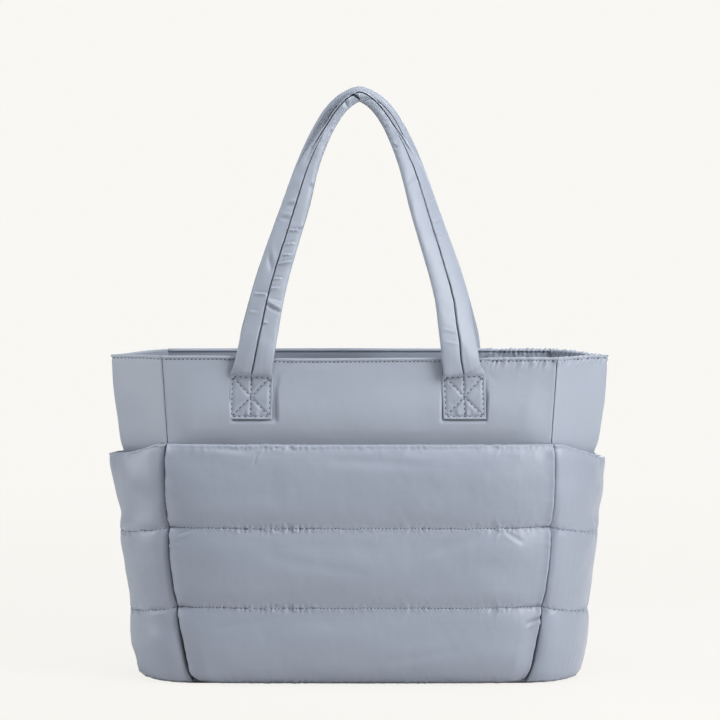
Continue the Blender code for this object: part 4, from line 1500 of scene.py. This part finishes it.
def seen_by_camera(tree, other, plain, surface):
    """The camera sees the plain shader, and light that bounces sees the other."""
    path = add(tree, "ShaderNodeLightPath")
    tree.links.new(shader_mix(tree, path.outputs["Is Camera Ray"], other, plain), surface)


def surroundings():
    """White studio: a plain backdrop for the camera, and light mostly from above, behind and the right."""
    world = bpy.data.worlds.new("studio")
    bpy.context.scene.world = world
    world.use_nodes = True
    tree = world.node_tree
    tree.nodes.clear()
    place = add(tree, "ShaderNodeTexCoord").outputs["Generated"]
    side = add(tree, "ShaderNodeVectorMath", {0: place, 1: WORLD_FROM}, operation="DOT_PRODUCT")
    ramp = {
        "Value": side.outputs["Value"],
        "From Min": -1.0,
        "From Max": 1.0,
        "To Min": WORLD_DARK,
        "To Max": WORLD_LIGHT,
    }
    strength = add(tree, "ShaderNodeMapRange", ramp).outputs["Result"]
    lit = add(tree, "ShaderNodeBackground", {"Color": WORLD_COLOUR, "Strength": strength})
    seen = add(tree, "ShaderNodeBackground", {"Color": BACKDROP})
    out = add(tree, "ShaderNodeOutputWorld")
    seen_by_camera(tree, lit.outputs["Background"], seen.outputs["Background"], out.inputs["Surface"])


def floor():
    """A pale floor with a soft shadow, which fades into the backdrop away from the bag."""
    corners = [(-3, -3, 0), (3, -3, 0), (3, 3, 0), (-3, 3, 0)]
    obj = mesh_object("floor", corners, [(0, 1, 2, 3)])
    material, tree, shader = new_material("floor")
    feed(tree, shader, {"Base Color": FLOOR_COLOUR, "Roughness": 0.9})
    pale = add(tree, "ShaderNodeEmission", {"Color": BACKDROP})
    blend = shader_mix(tree, FLOOR_PLAIN, shader.outputs["BSDF"], pale.outputs["Emission"])
    place = add(tree, "ShaderNodeTexCoord").outputs["Object"]
    size = add(tree, "ShaderNodeVectorMath", {0: place}, operation="LENGTH")
    inputs = {"Value": size.outputs["Value"], "From Min": FADE_FROM, "From Max": FADE_TO}
    fade = add(tree, "ShaderNodeMapRange", inputs, interpolation_type="SMOOTHSTEP")
    clear = add(tree, "ShaderNodeBsdfTransparent")
    seen = shader_mix(tree, fade.outputs["Result"], blend, clear.outputs["BSDF"])
    surface = tree.nodes["Material Output"].inputs["Surface"]
    seen_by_camera(tree, shader.outputs["BSDF"], seen, surface)
    obj.data.materials.append(material)


def camera():
    rise = math.radians(CAMERA_RISE)
    lens = bpy.data.cameras.new("camera")
    lens.sensor_width = 36.0
    lens.lens = 36.0 * CAMERA_DISTANCE / VIEW_WIDTH
    lens.clip_end = 60.0
    obj = bpy.data.objects.new("camera", lens)
    target = Vector(CAMERA_TARGET)
    obj.location = target + Vector((0, -math.cos(rise), math.sin(rise))) * CAMERA_DISTANCE
    bpy.context.scene.collection.objects.link(obj)
    aim(obj, target)
    bpy.context.scene.camera = obj


# Putting it together


def main():
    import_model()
    shell = nylon("shell_nylon", SHELL_COLOUR, 0.42)
    # the pockets' nylon is the shell's, with painted shade darkening it
    quilting = nylon("quilting_nylon_shaded", QUILTING_SHADED_COLOUR, 0.40)
    webbing = nylon("strap_nylon", STRAP_COLOUR, 0.42, 0.7)
    pale = thread("thread", THREAD_COLOUR)
    # painted shade for the needle's holes
    dark = thread("needle_hole_shade", HOLE_SHADE_COLOUR)

    def finish(obj, material, node):
        obj.data.materials.clear()
        obj.data.materials.append(material)
        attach(obj, "root")
        if node:
            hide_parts(node)
        return obj

    front, back = front_panel().lifted(), back_panel()
    right = gusset(41, True).lifted()
    left = gusset(47, False).mirrored().lifted()
    pocket = front_pocket()
    right_pocket = side_pocket(101, 0.0038)
    left_pocket = side_pocket(131, 0.0).mirrored()
    front_strap, back_strap = Strap("front", 201), Strap("back", 231).turned()

    square = (0.0, 0.0, 1.0, 0.0)  # a wall that is rolled at its rim only
    for sheet, name, node, flat in (
        (front, "front_wall", "front_panel", FRONT_FLAT),
        (right, "right_end", "gusset_right", END_FLAT),
        (left, "left_end", "gusset_left", END_FLAT),
    ):
        obj = finish(sheet.build(name, square), shell, node)
    # fill: how full of padding a piece is, from 0 to 1
    for obj, material, slot, node, fill in (
        (back.build("back_wall", square), shell, "shell", "back_panel", 0.4),
        (base_panel(), shell, "shell", "base_panel", 0.3),
        (pocket.build("slip_pocket"), quilting, "quilting", "front_pocket", 0.7),
        (right_pocket.build("right_bottle_pocket"), quilting, "quilting", "side_pocket_right", 0.6),
        (left_pocket.build("left_bottle_pocket"), quilting, "quilting", "side_pocket_left", 0.6),
        (front_strap.build("front_strap"), webbing, "webbing", "front_handle", 0.7),
        (back_strap.build("back_strap"), webbing, "webbing", "back_handle", 0.7),
    ):
        finish(obj, material, node)

    rim = BODY_HEIGHT - RIM_STITCH_DROP
    rim_runs = [seam_line(front, rim, SEWN_TO, RIM_PITCH)]
    rim_runs += [seam_line(sheet, rim, END_SEWN_TO, END_PITCH) for sheet in (right, left)]
    rim_runs.append(seam_line(back, rim, SEWN_TO, RIM_PITCH))
    quilt_runs = []
    for seam in QUILT_CHANNELS[1:-1]:
        quilt_runs.append(seam_line(pocket, seam, SEWN_TO, QUILT_PITCH, sink=-0.0001))
        for sheet in (right_pocket, left_pocket):
            quilt_runs.append(seam_line(sheet, seam, SIDE_SEWN_TO, SIDE_PITCH, sink=-0.0002))
        height = quilt_height(seam, WALL_FOOT)
        quilt_runs.append(seam_line(back, height, SEWN_TO, QUILT_PITCH, sink=0.0002))
    strap_runs = []
    for strap in (front_strap, back_strap):
        strap_runs += patch_lines(strap)
        shown = FRONT_SEAM_SHOWN if strap is front_strap else strap.length / 2
        for low, high in ((PATCH_HEIGHT, shown), (strap.length - shown, strap.length - PATCH_HEIGHT)):
            strap_runs.append(sewn_line(strap, (low, 0.0), (high, 0.0), PATCH_PITCH, sink=0.0004))
    for name, slot, runs in (
        ("rim", "shell", rim_runs),
        ("quilt", "quilting", quilt_runs),
        ("strap", "webbing", strap_runs),
    ):
        finish(stitches(name + "_stitches", runs), pale, None)
        # dark marks between the stitches: painted shade in the needle's holes
        finish(stitches(name + "_hole_shade", holes(runs), HOLE_SIZE, HOLE_SIZE * 0.8), dark, None)

    surroundings()
    floor()
    lights()
    camera()
    bpy.context.scene.view_settings.view_transform = "Standard"


main()
